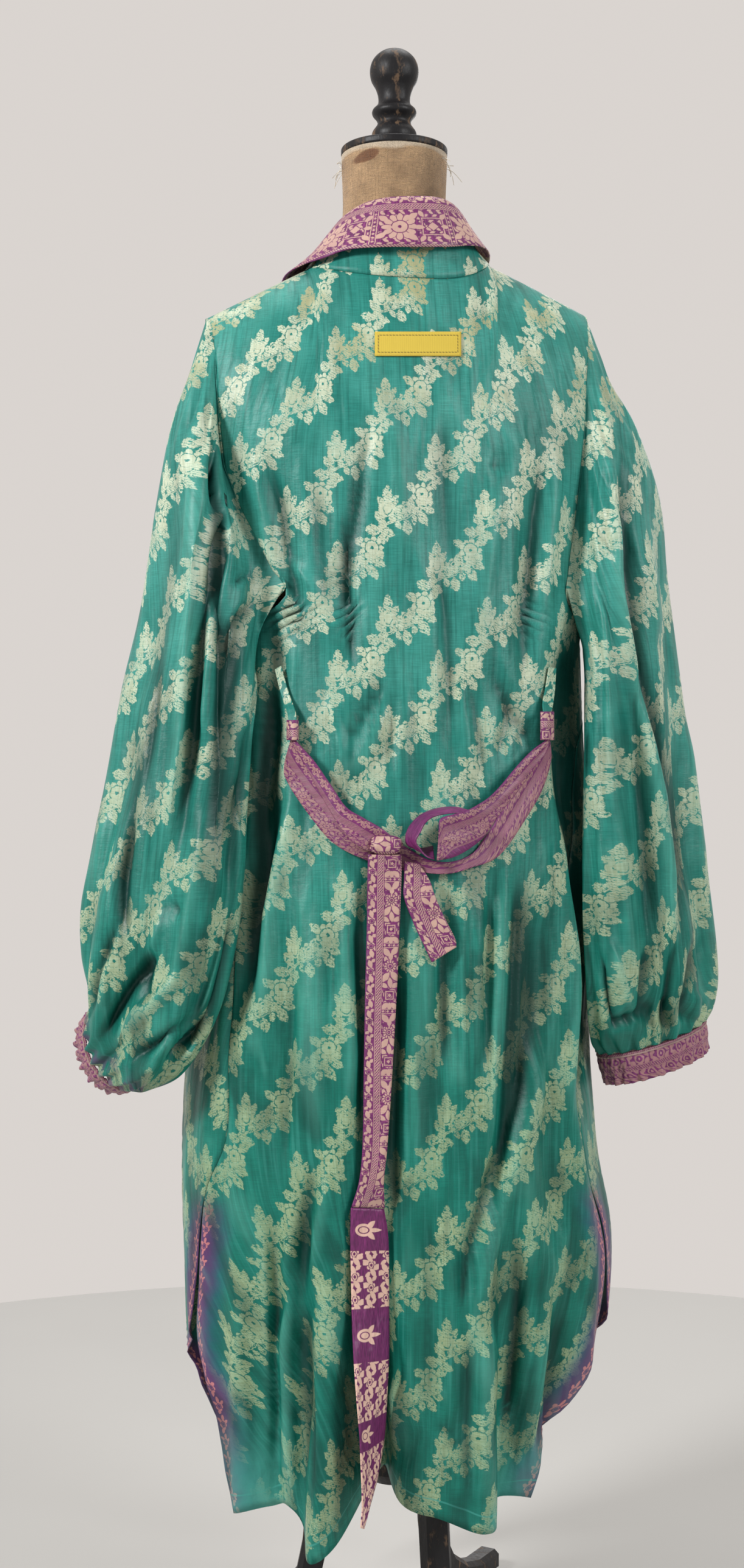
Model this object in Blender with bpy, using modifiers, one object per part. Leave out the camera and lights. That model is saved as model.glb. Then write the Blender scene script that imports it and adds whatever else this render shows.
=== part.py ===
"""Kimono robe in green brocade silk, hung on a limbless dress form.

Metres, +Z up. The robe's back faces -Y and +X is to the right of somebody who looks at that
back. Places are worked out from the form's axis, and angles run round it from the middle of
the back, in degrees, and grow toward +X. At the end everything moves a little, so that the
origin is on the floor under the middle of the whole.
"""

import bpy
import bmesh
import numpy as np

CLOTH = 0.0016
BAND_CLOTH = 0.0018
CUFF_CLOTH = 0.0022
CARRIER_CLOTH = 0.0014
LABEL_CLOTH = 0.0010
SEAM_GAP = 0.0003
# How square the body's level sections are: 2 is an ellipse.
BOX_POWER = 2.3

# The middle of the whole, from the form's axis.
WHOLE_MIDDLE = (0.0143, -0.0226)

# The place that the robe is seen from, which turns outlines seen there into places here.
VIEW_TURN = np.radians(-13)
VIEW_DISTANCE = 2.2
VIEW_HEIGHT = 0.92
VIEW_SIDE_STEP = 0.024
VIEW_FOCAL = 3350
VIEW_MIDDLE = (611.5, 1288)
# Angles of the body that this place sees, and how far behind the axis it starts to look.
SEEN_ANGLES = (-86, 76)
SEEN_STEPS = 325
SEEN_BEHIND = -0.12

# The body's half sizes: height, left, right, back, front.
BODY = (
    (0.14, 0.213, 0.222, 0.130, 0.122),
    (0.30, 0.222, 0.226, 0.142, 0.128),
    (0.45, 0.229, 0.232, 0.150, 0.135),
    (0.52, 0.229, 0.218, 0.152, 0.137),
    (0.60, 0.226, 0.211, 0.152, 0.138),
    (0.75, 0.208, 0.212, 0.146, 0.136),
    (0.90, 0.190, 0.210, 0.134, 0.132),
    (1.00, 0.182, 0.206, 0.126, 0.130),
    (1.09, 0.180, 0.204, 0.122, 0.130),
    (1.20, 0.194, 0.210, 0.118, 0.130),
    (1.32, 0.222, 0.228, 0.114, 0.122),
    (1.52, 0.244, 0.250, 0.105, 0.108),
)
# The shoulder line: where the body starts to round over, how round, and its ends.
SHOULDER_START = 1.25
SHOULDER_ROUND = 2.2
NECK_HALF = 0.100
NECK_DOME = 0.065
NECK_HEIGHT = 1.474
NECK_BACK_HEIGHT = 1.447
TIP_X = (-0.205, 0.212)
TIP_HEIGHT = (1.410, 1.435)
NECK_TILT = 0.008

# Side edges of the back panel below the underarm: height, left angle, right angle.
BACK_SIDES = (
    (0.15, -50, 22),
    (0.176, -54.5, 25),
    (0.21, -60, 29),
    (0.246, -62, 37),
    (0.287, -65, 48),
    (0.337, -76, 59),
    (0.41, -72, 65),
    (0.45, -69, 61),
    (0.51, -65, 54),
    (0.56, -57, 51),
    (0.65, -58, 51),
    (0.79, -61, 55),
    (0.95, -67, 66),
)
# The same for the fronts' slit edges, which round away under the back panel's.
FRONT_SLITS = (
    (0.15, -132, 132),
    (0.18, -132, 129),
    (0.20, -130, 124),
    (0.23, -126, 116),
    (0.26, -122, 108),
    (0.30, -116, 98),
    (0.337, -92, 80),
    (0.41, -75, 68),
    (0.45, -71, 63.5),
    (0.50, -66.5, 56.1),
)
UNDERARM = (1.078, -76, 84)
SLIT_TOP = 0.50
SEAM_ANGLE = 0.22
# Steps down a panel: over the shoulder, to the underarm, to the slit's top, to the hem.
PANEL_STEPS = (6, 4, 10, 8)
BACK_ACROSS = 29
FRONT_ACROSS = 11
# Armholes above the underarm: height, left and right distance from the middle.
BACK_ARMHOLE = (
    (1.105, 0.1405, 0.176),
    (1.145, 0.149, 0.172),
    (1.173, 0.163, 0.1765),
    (1.207, 0.178, 0.183),
    (1.24, 0.190, 0.187),
    (1.275, 0.1955, 0.190),
    (1.315, 0.200, 0.194),
    (1.355, 0.201, 0.198),
    (1.39, 0.203, 0.204),
    (1.435, 0.205, 0.212),
)
FRONT_ARMHOLE = (
    (1.15, 0.153, 0.165),
    (1.20, 0.170, 0.178),
    (1.28, 0.188, 0.192),
    (1.355, 0.198, 0.200),
    (1.435, 0.205, 0.212),
)
# The front armhole from the underarm up: height, left angle, right angle.
FRONT_UNDERARM = ((1.078, -76.2, 84.2), (1.10, -97, 99), (1.125, -112, 110))

# The back hem's height by angle, and the fronts'.
BACK_HEM = (
    (-70, 0.190),
    (-57, 0.178),
    (-45, 0.186),
    (-34, 0.187),
    (-29, 0.166),
    (-25, 0.150),
    (-19, 0.160),
    (-14, 0.205),
    (-10, 0.212),
    (-5, 0.190),
    (2, 0.178),
    (9, 0.164),
    (14, 0.166),
    (17, 0.180),
    (30, 0.182),
)
FRONT_HEM = 0.174
# Front edge: height, distance from the middle.
FRONT_EDGE = (
    (0.19, 0.036),
    (0.50, 0.030),
    (0.80, 0.025),
    (1.00, 0.028),
    (1.15, 0.040),
    (1.27, 0.056),
    (1.38, 0.070),
    (1.45, 0.075),
    (1.52, 0.070),
)

# Folds of the hanging cloth: angle at the hem, angle at the top, half width in degrees,
# height of the top, depth at the hem in millimetres and depth half way up.
FOLDS = (
    (-22, -20, 6.0, 1.05, 50, 5),
    (-11, -12, 4.5, 1.00, -66, -6),
    (8, 4, 8.0, 1.02, 34, 5),
    (18, 14, 3.0, 0.95, -16, -5),
    (27, 24, 5.0, 0.96, 8, 6),
    (-42, -36, 5.0, 0.95, -10, -7),
    (-53, -50, 5.0, 0.90, 10, 5),
    (38, 36, 4.5, 0.95, -12, -7),
    (52, 50, 5.0, 0.80, 8, 5),
    (-66, -68, 5.0, 0.75, 6, 4),
    (78, 80, 6.0, 0.75, 6, 4),
    (-96, -100, 6.0, 0.85, -8, -5),
    (96, 98, 6.0, 0.85, -8, -5),
    (-116, -118, 7.0, 0.95, 14, 8),
    (116, 118, 7.0, 0.95, 14, 8),
    (-136, -138, 6.0, 0.95, -12, -7),
    (136, 138, 6.0, 0.95, -12, -7),
    (-154, -154, 6.0, 0.95, 14, 7),
    (154, 154, 6.0, 0.95, 14, 7),
)
HEM_LEVEL = 0.18
# Long creases of the upper back: angle, half width, height of the middle, reach, depth.
CREASES = (
    (-33, 3.5, 1.17, 0.14, 4.0),
    (-26, 3.0, 1.12, 0.16, -4.0),
    (24, 3.5, 1.18, 0.15, 4.0),
    (31, 3.0, 1.12, 0.16, -4.0),
)

# Sleeves, as the rings that a level look from the back shows. Columns and rows of the seen
# picture for the outer and the inner end, how far each end is behind the axis, then the
# step from the ring's middle to its near side: sideways, up, behind.
LEFT_SLEEVE = (
    (312, 622, 430, 1060, -0.060, -0.085, 0.000, 0.000, -0.070),
    (282, 706, 421, 1120, -0.065, -0.110, 0.000, 0.000, -0.065),
    (256, 840, 413, 1220, -0.068, -0.126, 0.000, 0.000, -0.060),
    (232, 1000, 406, 1330, -0.072, -0.134, 0.000, 0.000, -0.058),
    (202, 1130, 402, 1420, -0.074, -0.136, -0.002, 0.000, -0.058),
    (178, 1268, 393, 1515, -0.077, -0.139, -0.005, -0.003, -0.058),
    (153, 1398, 378, 1595, -0.080, -0.142, -0.009, -0.006, -0.056),
    (138, 1484, 361, 1656, -0.082, -0.142, -0.013, -0.008, -0.051),
    (141, 1556, 333, 1716, -0.084, -0.138, -0.018, -0.011, -0.043),
    (155, 1606, 296, 1766, -0.086, -0.130, -0.023, -0.014, -0.034),
    (161, 1636, 254, 1784, -0.088, -0.112, -0.025, -0.015, -0.025),
    (163, 1652, 231, 1782, -0.090, -0.096, -0.025, -0.015, -0.021),
)
RIGHT_SLEEVE = (
    (1002, 634, 956, 1080, 0.050, -0.010, 0.000, 0.000, -0.070),
    (1044, 704, 962, 1140, 0.057, -0.026, 0.000, 0.000, -0.065),
    (1083, 820, 961, 1230, 0.064, -0.034, 0.000, 0.000, -0.060),
    (1096, 950, 957, 1330, 0.068, -0.038, 0.000, 0.000, -0.058),
    (1115, 1100, 953, 1420, 0.071, -0.038, 0.000, 0.000, -0.058),
    (1134, 1240, 950, 1500, 0.074, -0.038, 0.000, 0.000, -0.058),
    (1150, 1356, 949, 1560, 0.075, -0.037, 0.000, 0.000, -0.058),
    (1166, 1464, 950, 1615, 0.076, -0.034, 0.000, -0.001, -0.058),
    (1177, 1556, 953, 1662, 0.076, -0.030, 0.000, -0.002, -0.056),
    (1179, 1612, 958, 1690, 0.074, -0.024, 0.000, -0.003, -0.053),
    (1171, 1648, 968, 1712, 0.070, -0.012, 0.000, -0.004, -0.048),
    (1157, 1672, 982, 1727, 0.064, 0.000, 0.000, -0.005, -0.045),
)
SLEEVE_GATHER = 0.0032
# Share of the length that the gathers fade over, from the shoulder and from the cuff.
GATHER_FADE = (0.12, 0.14)
SLEEVE_CLEAR = 0.007
SLEEVE_CLEAR_FADE = 0.06
# How far the sleeve starts past the panels' edge, and how far off the body it turns there.
SLEEVE_START = 0.0031
SLEEVE_TURN = 0.0036
SLEEVE_AHEAD = 0.8
# The second ring's share of the way from the start to the first ring of the table.
SLEEVE_SECOND = 0.55
# The body's core inside the armhole: its share of the width, and its highest place.
ARMHOLE_CORE = (0.6, 1.30)
# Long folds of both sleeves: angle round from the outer side, half width, depth, first and
# last share of the length.
SLEEVE_FOLDS = (
    (38, 11, -0.010, 0.10, 0.95),
    (66, 12, 0.009, 0.05, 0.90),
    (96, 10, -0.010, 0.15, 1.00),
    (126, 11, 0.008, 0.20, 0.95),
    (150, 9, -0.007, 0.25, 0.90),
    (215, 12, -0.007, 0.10, 0.95),
    (262, 13, 0.008, 0.10, 0.90),
    (306, 12, -0.008, 0.10, 0.95),
    (340, 10, 0.006, 0.20, 0.90),
)
CUFF_HEIGHT = 0.034
CUFF_RUFFLE = 0.0017
CUFF_START = 0.0012
# A cuff's rings: share of its height, how far the ring is let out, share of the ruffle.
CUFF_RINGS = (
    (0.00, -0.0002, 0.1),
    (0.35, 0.0010, 0.4),
    (0.70, -0.0012, 0.6),
    (1.00, -0.0030, 1.0),
)

# Collar: the fold line's x, y and z round the back of the neck, the neck seam's x, and how
# wide the folded leaf is there on the left and on the right.
COLLAR_BACK = (
    (0.000, -0.074, 1.530, 0.000, 0.056, 0.056),
    (0.026, -0.070, 1.530, 0.034, 0.056, 0.056),
    (0.046, -0.057, 1.528, 0.064, 0.057, 0.052),
    (0.060, -0.038, 1.522, 0.084, 0.060, 0.047),
    (0.068, -0.018, 1.513, 0.096, 0.062, 0.043),
)
COLLAR_STAND_OFF = 0.012
# How far below the neck seam the leaf's far edge lies: at the middle and at the shoulders.
COLLAR_DROP = (0.038, 0.003)
COLLAR_SPREAD = 1.34
# Stations from the shoulder over which the leaf grows to the band's width.
COLLAR_GROWS = 8
# Stations from the middle where the leaf starts to lie flat, and over how many.
COLLAR_LEAN = (1.5, 5)
BAND_WIDTH = 0.062
BAND_INNER = 0.016
BAND_SPACE = 0.0044
BAND_FOLD = 0.003
BAND_TURN = 0.004
BAND_POINTS = 6
# The neck band's share of the way down from the fold, where it starts, and its rows.
NECK_BAND_START = 0.08
NECK_BAND_ROWS = 4

# Places across a belt stretch, and steps from one row of its table to the next.
STRIP_ACROSS = 3
STRIP_STEPS = 2
# Belt stretches: column and row of the upper edge, of the lower edge, and how far each lies
# off the body.
GARLAND = (
    (486, 1203, 477, 1203, 0.0135, 0.0135),
    (486, 1217, 477, 1217, 0.0135, 0.0135),
    (494, 1236, 467, 1258, 0.010, 0.0085),
    (516, 1270, 472, 1284, 0.007, 0.006),
    (546, 1306, 506, 1336, 0.007, 0.006),
    (584, 1350, 548, 1385, 0.007, 0.006),
    (622, 1374, 602, 1413, 0.006, 0.006),
    (660, 1388, 652, 1428, 0.005, 0.006),
    (703, 1412, 702, 1434, 0.004, 0.010),
    (742, 1416, 738, 1435, 0.004, 0.014),
    (776, 1402, 774, 1426, 0.004, 0.012),
    (800, 1372, 821, 1405, 0.004, 0.007),
    (830, 1324, 866, 1342, 0.005, 0.006),
    (862, 1272, 892, 1295, 0.005, 0.006),
    (882, 1240, 905, 1250, 0.010, 0.009),
    (895, 1217, 904, 1217, 0.0135, 0.0135),
    (895, 1203, 904, 1203, 0.0135, 0.0135),
)
STRAP_LEFT = (
    (486, 1203, 477, 1203, 0.0185, 0.0185),
    (487, 1217, 478, 1217, 0.0185, 0.0185),
    (516, 1250, 502, 1258, 0.017, 0.0155),
    (544, 1290, 524, 1300, 0.016, 0.014),
    (569, 1326, 548, 1342, 0.017, 0.014),
    (598, 1344, 568, 1370, 0.018, 0.015),
    (612, 1352, 585, 1388, 0.018, 0.015),
)
STRAP_RIGHT = (
    (895, 1203, 904, 1203, 0.0185, 0.0185),
    (895, 1217, 903, 1217, 0.0185, 0.0185),
    (880, 1229, 897, 1236, 0.0185, 0.017),
    (864, 1244, 885, 1254, 0.0185, 0.016),
    (844, 1266, 866, 1280, 0.019, 0.016),
    (822, 1292, 850, 1302, 0.020, 0.016),
    (804, 1310, 832, 1324, 0.022, 0.016),
    (786, 1322, 814, 1348, 0.026, 0.018),
    (766, 1332, 796, 1374, 0.031, 0.022),
    (744, 1338, 772, 1394, 0.036, 0.028),
    (724, 1345, 746, 1408, 0.040, 0.032),
    (722, 1362, 718, 1414, 0.040, 0.034),
)
BOW_LOOP = (
    (770, 1331, 760, 1336, 0.0262, 0.0300),
    (746, 1326, 740, 1336, 0.020, 0.0325),
    (716, 1328, 712, 1342, 0.014, 0.034),
    (692, 1338, 698, 1352, 0.012, 0.036),
    (674, 1357, 690, 1368, 0.011, 0.036),
    (667, 1374, 684, 1382, 0.012, 0.034),
    (670, 1388, 690, 1394, 0.014, 0.032),
    (690, 1394, 702, 1408, 0.014, 0.030),
    (712, 1390, 714, 1412, 0.016, 0.030),
)
SHORT_TAIL = (
    (664, 1414, 690, 1420, 0.0118, 0.0118),
    (664, 1446, 706, 1446, 0.0115, 0.0115),
    (664, 1474, 716, 1474, 0.012, 0.014),
    (678, 1512, 732, 1510, 0.010, 0.011),
    (694, 1548, 748, 1542, 0.010, 0.010),
    (710, 1581, 750, 1556, 0.010, 0.010),
)
TAIL_UPPER = (
    (605, 1404, 660, 1404, 0.017, 0.017),
    (604, 1440, 660, 1440, 0.013, 0.013),
    (603, 1520, 657, 1520, 0.009, 0.009),
    (600, 1637, 652, 1637, 0.009, 0.009),
    (598, 1760, 645, 1760, 0.009, 0.010),
    (596, 1880, 637, 1880, 0.008, 0.014),
    (590, 1940, 631, 1940, 0.008, 0.012),
    (578, 1983, 632, 1985, 0.008, 0.008),
)
TAIL_LOWER = (
    (577, 1984, 631, 1986, 0.008, 0.008),
    (576, 2034, 638, 2036, 0.008, 0.008),
    (579, 2140, 639, 2140, 0.012, 0.012),
    (582, 2230, 640, 2228, 0.030, 0.032),
    (586, 2300, 636, 2300, 0.047, 0.044),
    (592, 2370, 630, 2370, 0.054, 0.050),
    (594, 2430, 620, 2430, 0.060, 0.056),
    (594, 2480, 606, 2480, 0.062, 0.060),
    (593, 2510, 598, 2512, 0.064, 0.063),
)
KNOT_MIDDLE = (634, 1388)
KNOT_HALF = (0.0165, 0.0095, 0.0085)
KNOT_LIFT = 0.0165
# The knot's flatness from above and round it, its latitudes and its places round.
KNOT_POWERS = (0.6, 0.7)
KNOT_LATITUDES = (-75, 75, 7)
KNOT_ROUND = 12
# Belt carriers: column and row of the left and right edge, and how far each lies off.
TAB_LEFT = (
    (452, 1100, 462, 1094, 0.0030, 0.0030),
    (462, 1140, 474, 1136, 0.004, 0.004),
    (472, 1170, 486, 1170, 0.011, 0.011),
    (475.5, 1191, 486.5, 1191, 0.016, 0.016),
)
TAB_RIGHT = (
    (902, 1096, 914, 1098, 0.0029, 0.0029),
    (897, 1128, 912, 1130, 0.004, 0.004),
    (892, 1156, 909, 1156, 0.011, 0.011),
    (894.6, 1178, 904.2, 1178, 0.016, 0.016),
)
CARRIER_LEFT = (472, 490, 1183, 1216)
CARRIER_RIGHT = (889, 910, 1169, 1216)
CARRIER_LIFT = 0.016
CARRIER_HALF = 0.0069
CARRIER_ROUND = 10
CARRIER_RINGS = 4
LABEL = (616, 758, 545, 585)
LABEL_LIFT = 0.0019
LABEL_GRID = (7, 3)

# The dress form: height, half width, back depth, front depth.
FORM = (
    (0.800, 0.118, 0.078, 0.078),
    (0.806, 0.132, 0.088, 0.088),
    (0.860, 0.152, 0.104, 0.098),
    (0.930, 0.146, 0.100, 0.092),
    (1.010, 0.122, 0.086, 0.084),
    (1.090, 0.132, 0.092, 0.098),
    (1.180, 0.146, 0.096, 0.108),
    (1.260, 0.154, 0.096, 0.100),
    (1.350, 0.166, 0.090, 0.082),
    (1.410, 0.160, 0.078, 0.068),
    (1.444, 0.130, 0.064, 0.056),
    (1.464, 0.090, 0.058, 0.055),
    (1.487, 0.064, 0.056, 0.055),
    (1.515, 0.0575, 0.0565, 0.0565),
    (1.596, 0.0570, 0.0570, 0.0570),
)
FORM_ROUND = 24
CAP_RADIUS = 0.0575
CAP_HEIGHT = 0.008
CAP_EDGE = 0.002
# Finial: radius and height over the cap.
FINIAL = (
    (0.0000, 0.1080),
    (0.0125, 0.1052),
    (0.0222, 0.0970),
    (0.0262, 0.0860),
    (0.0250, 0.0745),
    (0.0200, 0.0650),
    (0.0174, 0.0560),
    (0.0178, 0.0480),
    (0.0232, 0.0420),
    (0.0236, 0.0370),
    (0.0190, 0.0310),
    (0.0184, 0.0260),
    (0.0236, 0.0180),
    (0.0242, 0.0110),
    (0.0215, 0.0040),
    (0.0240, 0.0000),
)
POLE_RADIUS = 0.016
POLE_FOOT = 0.300
HUB_RADIUS = 0.036
HUB_END = 0.7
HUB_SLANT = 0.012
HUB_HEIGHTS = (0.172, 0.2996)
LEG_TURNS = (-73, 47, 167)
LEG_WIDTH = 0.028
# A leg's bar, cut across: shares of its width and of its thickness.
LEG_CORNERS = (
    (-0.5, -0.3),
    (-0.3, -0.5),
    (0.3, -0.5),
    (0.5, -0.3),
    (0.5, 0.3),
    (0.3, 0.5),
    (-0.3, 0.5),
    (-0.5, 0.3),
)
# A leg's side view: distance from the axis, height of the middle, thickness.
LEG = (
    (0.0368, 0.262, 0.034),
    (0.0500, 0.262, 0.032),
    (0.0640, 0.250, 0.030),
    (0.0740, 0.224, 0.028),
    (0.0790, 0.185, 0.027),
    (0.0820, 0.140, 0.027),
    (0.0860, 0.100, 0.027),
    (0.0930, 0.068, 0.027),
    (0.1120, 0.042, 0.027),
    (0.1480, 0.020, 0.026),
    (0.1840, 0.0116, 0.024),
    (0.2250, 0.0115, 0.024),
)

GREEN = (0.05, 0.42, 0.33, 1)
PURPLE = (0.35, 0.08, 0.30, 1)
YELLOW = (0.85, 0.60, 0.05, 1)
LINEN = (0.50, 0.38, 0.25, 1)
BLACK = (0.02, 0.02, 0.02, 1)


def along(table, at):
    """The table's other columns at these values of its first, on a smooth curve through them."""
    rows = np.array(table, float)
    x, y = rows[:, 0], rows[:, 1:]
    at = np.asarray(at, float)
    slope = np.gradient(y, x, axis=0)
    k = np.clip(np.searchsorted(x, at) - 1, 0, len(x) - 2)
    step = (x[k + 1] - x[k])[..., None]
    s = np.clip((at - x[k]) / step[..., 0], 0, 1)[..., None]
    near = (1 + 2 * s) * (1 - s) ** 2 * y[k] + s * (1 - s) ** 2 * step * slope[k]
    return near + s * s * (3 - 2 * s) * y[k + 1] + s * s * (s - 1) * step * slope[k + 1]


def smooth(share):
    share = np.clip(share, 0, 1)
    return share * share * (3 - 2 * share)


def unit(vectors):
    return vectors / np.maximum(np.linalg.norm(vectors, axis=-1, keepdims=True), 1e-9)


def crest(x):
    """Height of the shoulder line; inside the neck it goes on as a dome."""
    x = np.asarray(x, float)
    side = (x > 0).astype(int)
    at_neck = NECK_HEIGHT + NECK_TILT * np.clip(x / NECK_HALF, -1, 1)
    tip_x, tip = np.abs(np.array(TIP_X))[side], np.array(TIP_HEIGHT)[side]
    down = (np.abs(x) - NECK_HALF) / (tip_x - NECK_HALF)
    slope = at_neck + (tip - at_neck) * np.clip(down, 0, 1.2)
    dome = at_neck + NECK_DOME * (1 - (x / NECK_HALF) ** 2)
    return np.where(np.abs(x) < NECK_HALF, dome, slope)


def folds(angle, z):
    """How far the folds push the cloth out, in metres."""
    total = np.zeros(np.broadcast(angle, z).shape)
    for hem, top, width, height, deep, half in FOLDS:
        up = np.clip((z - HEM_LEVEL) / (height - HEM_LEVEL), 0, 1)
        middle = hem + (top - hem) * up
        size = deep * (1 - smooth(up * 2)) + half * smooth(up * 2) * smooth((1 - up) * 3)
        total += size * np.exp(-(((angle - middle) / width) ** 2))
    for middle, width, height, reach, deep in CREASES:
        part = np.exp(-(((z - height) / reach) ** 2) * 2)
        total += deep * part * np.exp(-(((angle - middle) / width) ** 2))
    return total / 1000


def section(angle, z, out=0.0):
    """Places on the hanging cloth."""
    angle, z = np.broadcast_arrays(np.asarray(angle, float), np.asarray(z, float))
    left, right, back, front = np.moveaxis(along(BODY, z), -1, 0)
    sine, cosine = np.sin(np.radians(angle)), np.cos(np.radians(angle))
    x = np.where(sine < 0, left, right) * np.sign(sine) * np.abs(sine) ** (2 / BOX_POWER)
    y = np.where(cosine > 0, back, front) * np.sign(cosine) * np.abs(cosine) ** (2 / BOX_POWER)
    rise = np.clip((z - SHOULDER_START) / (crest(x) - SHOULDER_START), 0, 1)
    y = -y * (1 - rise**SHOULDER_ROUND) ** (1 / SHOULDER_ROUND)
    grow = 1 + (folds(angle, z) + out) / np.maximum(np.hypot(x, y), 0.02)
    return np.stack([x * grow, y * grow, z], -1)


def angle_at(x, z, front=False):
    left, right, _, _ = np.moveaxis(along(BODY, z), -1, 0)
    share = np.clip(np.abs(x) / np.where(x < 0, left, right), 0, 1)
    angle = np.degrees(np.arcsin(share ** (BOX_POWER / 2))) * np.sign(x)
    return np.where(front, np.where(x < 0, -180, 180) - angle, angle)


def armhole_angles(armhole, front):
    rows = []
    for z, left, right in armhole:
        rows.append((z, float(angle_at(-left, z, front)), float(angle_at(right, z, front))))
    return tuple(rows)


BACK_EDGES = BACK_SIDES + (UNDERARM,) + armhole_angles(BACK_ARMHOLE, False)
FRONT_ARMHOLES = FRONT_UNDERARM + armhole_angles(FRONT_ARMHOLE, True)


def back_edges(z):
    """The back panel's left and right edge, as angles."""
    left, right = np.moveaxis(along(BACK_EDGES, z), -1, 0)
    return left, right


def front_edge(z, side):
    """A front's side edge, as an angle: slit, side seam and armhole."""
    column = 0 if side < 0 else 1
    slit = along(FRONT_SLITS, z)[..., column]
    seam = back_edges(z)[column] + side * SEAM_ANGLE
    armhole = along(FRONT_ARMHOLES, z)[..., column]
    return np.where(z < SLIT_TOP - 0.001, slit, np.where(z > UNDERARM[0] + 0.001, armhole, seam))


def to_robe(side, up, behind):
    """From sideways, height and distance behind the axis, as seen, to x, y and z."""
    side, up, behind = np.broadcast_arrays(side, up, behind)
    turn, away = np.cos(VIEW_TURN), np.sin(VIEW_TURN)
    return np.stack([side * turn - behind * away, side * away + behind * turn, up], -1)


def seen(column, row, behind):
    """The place that shows at this column and row, this far behind the axis."""
    reach = (VIEW_DISTANCE + np.asarray(behind, float)) / VIEW_FOCAL
    side = (np.asarray(column, float) - VIEW_MIDDLE[0]) * reach - VIEW_SIDE_STEP
    up = VIEW_HEIGHT + (VIEW_MIDDLE[1] - np.asarray(row, float)) * reach
    return to_robe(side, up, behind)


def cloth_behind(side, z):
    """How far behind the axis the near side of the body is, at this side step and height."""
    angles = np.linspace(*SEEN_ANGLES, SEEN_STEPS)
    found = []
    for one_side, height in zip(np.ravel(side), np.ravel(z)):
        x, y, _ = section(angles, height).T
        across = x * np.cos(VIEW_TURN) + y * np.sin(VIEW_TURN)
        behind = -x * np.sin(VIEW_TURN) + y * np.cos(VIEW_TURN)
        rising = np.maximum.accumulate(across)
        found.append(np.interp(one_side, rising, behind))
    return np.reshape(found, np.shape(side))


def lay(column, row, lift):
    """The place that shows at this column and row, lying this far in front of the body."""
    behind = np.full(np.shape(column), SEEN_BEHIND)
    for _ in range(3):
        reach = (VIEW_DISTANCE + behind) / VIEW_FOCAL
        side = (column - VIEW_MIDDLE[0]) * reach - VIEW_SIDE_STEP
        behind = cloth_behind(side, VIEW_HEIGHT + (VIEW_MIDDLE[1] - row) * reach)
    return seen(column, row, behind - lift)


def material(name, colour, roughness):
    made = bpy.data.materials.new(name)
    made.use_nodes = True
    shader = made.node_tree.nodes["Principled BSDF"]
    shader.inputs["Base Color"].default_value = colour
    shader.inputs["Roughness"].default_value = roughness
    return made


def add_object(name, vertices, faces, coat):
    mesh = bpy.data.meshes.new(name)
    mesh.from_pydata([tuple(map(float, v)) for v in vertices], [], faces)
    mesh.materials.append(coat)
    mesh.polygons.foreach_set("use_smooth", [True] * len(mesh.polygons))
    made = bpy.data.objects.new(name, mesh)
    PARTS.objects.link(made)
    bm = bmesh.new()
    bm.from_mesh(mesh)
    bmesh.ops.recalc_face_normals(bm, faces=bm.faces)
    bm.to_mesh(mesh)
    bm.free()
    return made


def grid_faces(rows, columns, closed):
    across = columns if closed else columns - 1
    return [
        (r * columns + c, r * columns + (c + 1) % columns,
         (r + 1) * columns + (c + 1) % columns, (r + 1) * columns + c)
        for r in range(rows - 1)
        for c in range(across)
    ]


def sheet(name, grid, coat, thick=CLOTH, closed=False):
    """A cloth piece from a grid of places, made into a wall about its middle."""
    rows, columns, _ = grid.shape
    faces = grid_faces(rows, columns, closed)
    made = add_object(name, grid.reshape(-1, 3), faces, coat)
    wall = made.modifiers.new("wall", "SOLIDIFY")
    wall.thickness = thick
    wall.offset = 0


def loft(name, rings, coat):
    """A closed solid through rings of places, with flat ends."""
    rows, columns, _ = rings.shape
    faces = grid_faces(rows, columns, True)
    faces.append(tuple(reversed(range(columns))))
    faces.append(tuple(range((rows - 1) * columns, rows * columns)))
    add_object(name, rings.reshape(-1, 3), faces, coat)


def top_height(x, neckline):
    """Height of a panel's top edge: the shoulder line, or the neck seam between the shoulders."""
    line = crest(x)
    if not neckline:
        return line
    inside = NECK_BACK_HEIGHT + (crest(np.sign(x) * NECK_HALF) - NECK_BACK_HEIGHT) * np.abs(
        x / NECK_HALF
    ) ** 3
    return np.where(np.abs(x) < NECK_HALF, np.minimum(inside, line), line)


def panel(edge_angles, hem_height, across, neckline):
    """A grid of places from the shoulder line to the hem.

    edge_angles gives the first and the last edge's angle at a height, hem_height the hem's
    height at an angle. All panels have the same rows at the underarm and at the slit's top.
    """
    share = np.linspace(0, 1, across)[None, :]
    rounding = np.linspace(0, 1, PANEL_STEPS[0] + 1)[:, None]
    z = np.linspace(1.43, HEM_LEVEL, sum(PANEL_STEPS) + 1)[:, None] + 0 * share
    for _ in range(8):
        first, last = edge_angles(z)
        angle = first + (last - first) * share
        x = section(angle, z)[0, :, 0]
        line = crest(x) - SHOULDER_START
        rise = np.clip((top_height(x, neckline) - SHOULDER_START) / line, 0, 1)
        turn = np.arccos(rise) + (np.pi / 2 - np.arccos(rise)) * rounding
        blocks = [SHOULDER_START + np.cos(turn) * line]
        levels = (SHOULDER_START, UNDERARM[0], SLIT_TOP, hem_height(angle[-1]))
        for steps, high, low in zip(PANEL_STEPS[1:], levels, levels[1:]):
            down = np.linspace(0, 1, steps + 1)[1:, None]
            blocks.append(high + (low - high) * down + 0 * share)
        z = np.concatenate(blocks)
    return section(angle, z)


def back_grid():
    def hem(angle):
        return along(BACK_HEM, angle)[..., 0]

    grid = panel(back_edges, hem, BACK_ACROSS, True)
    grid[0, :, 1] -= SEAM_GAP
    return grid


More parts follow.
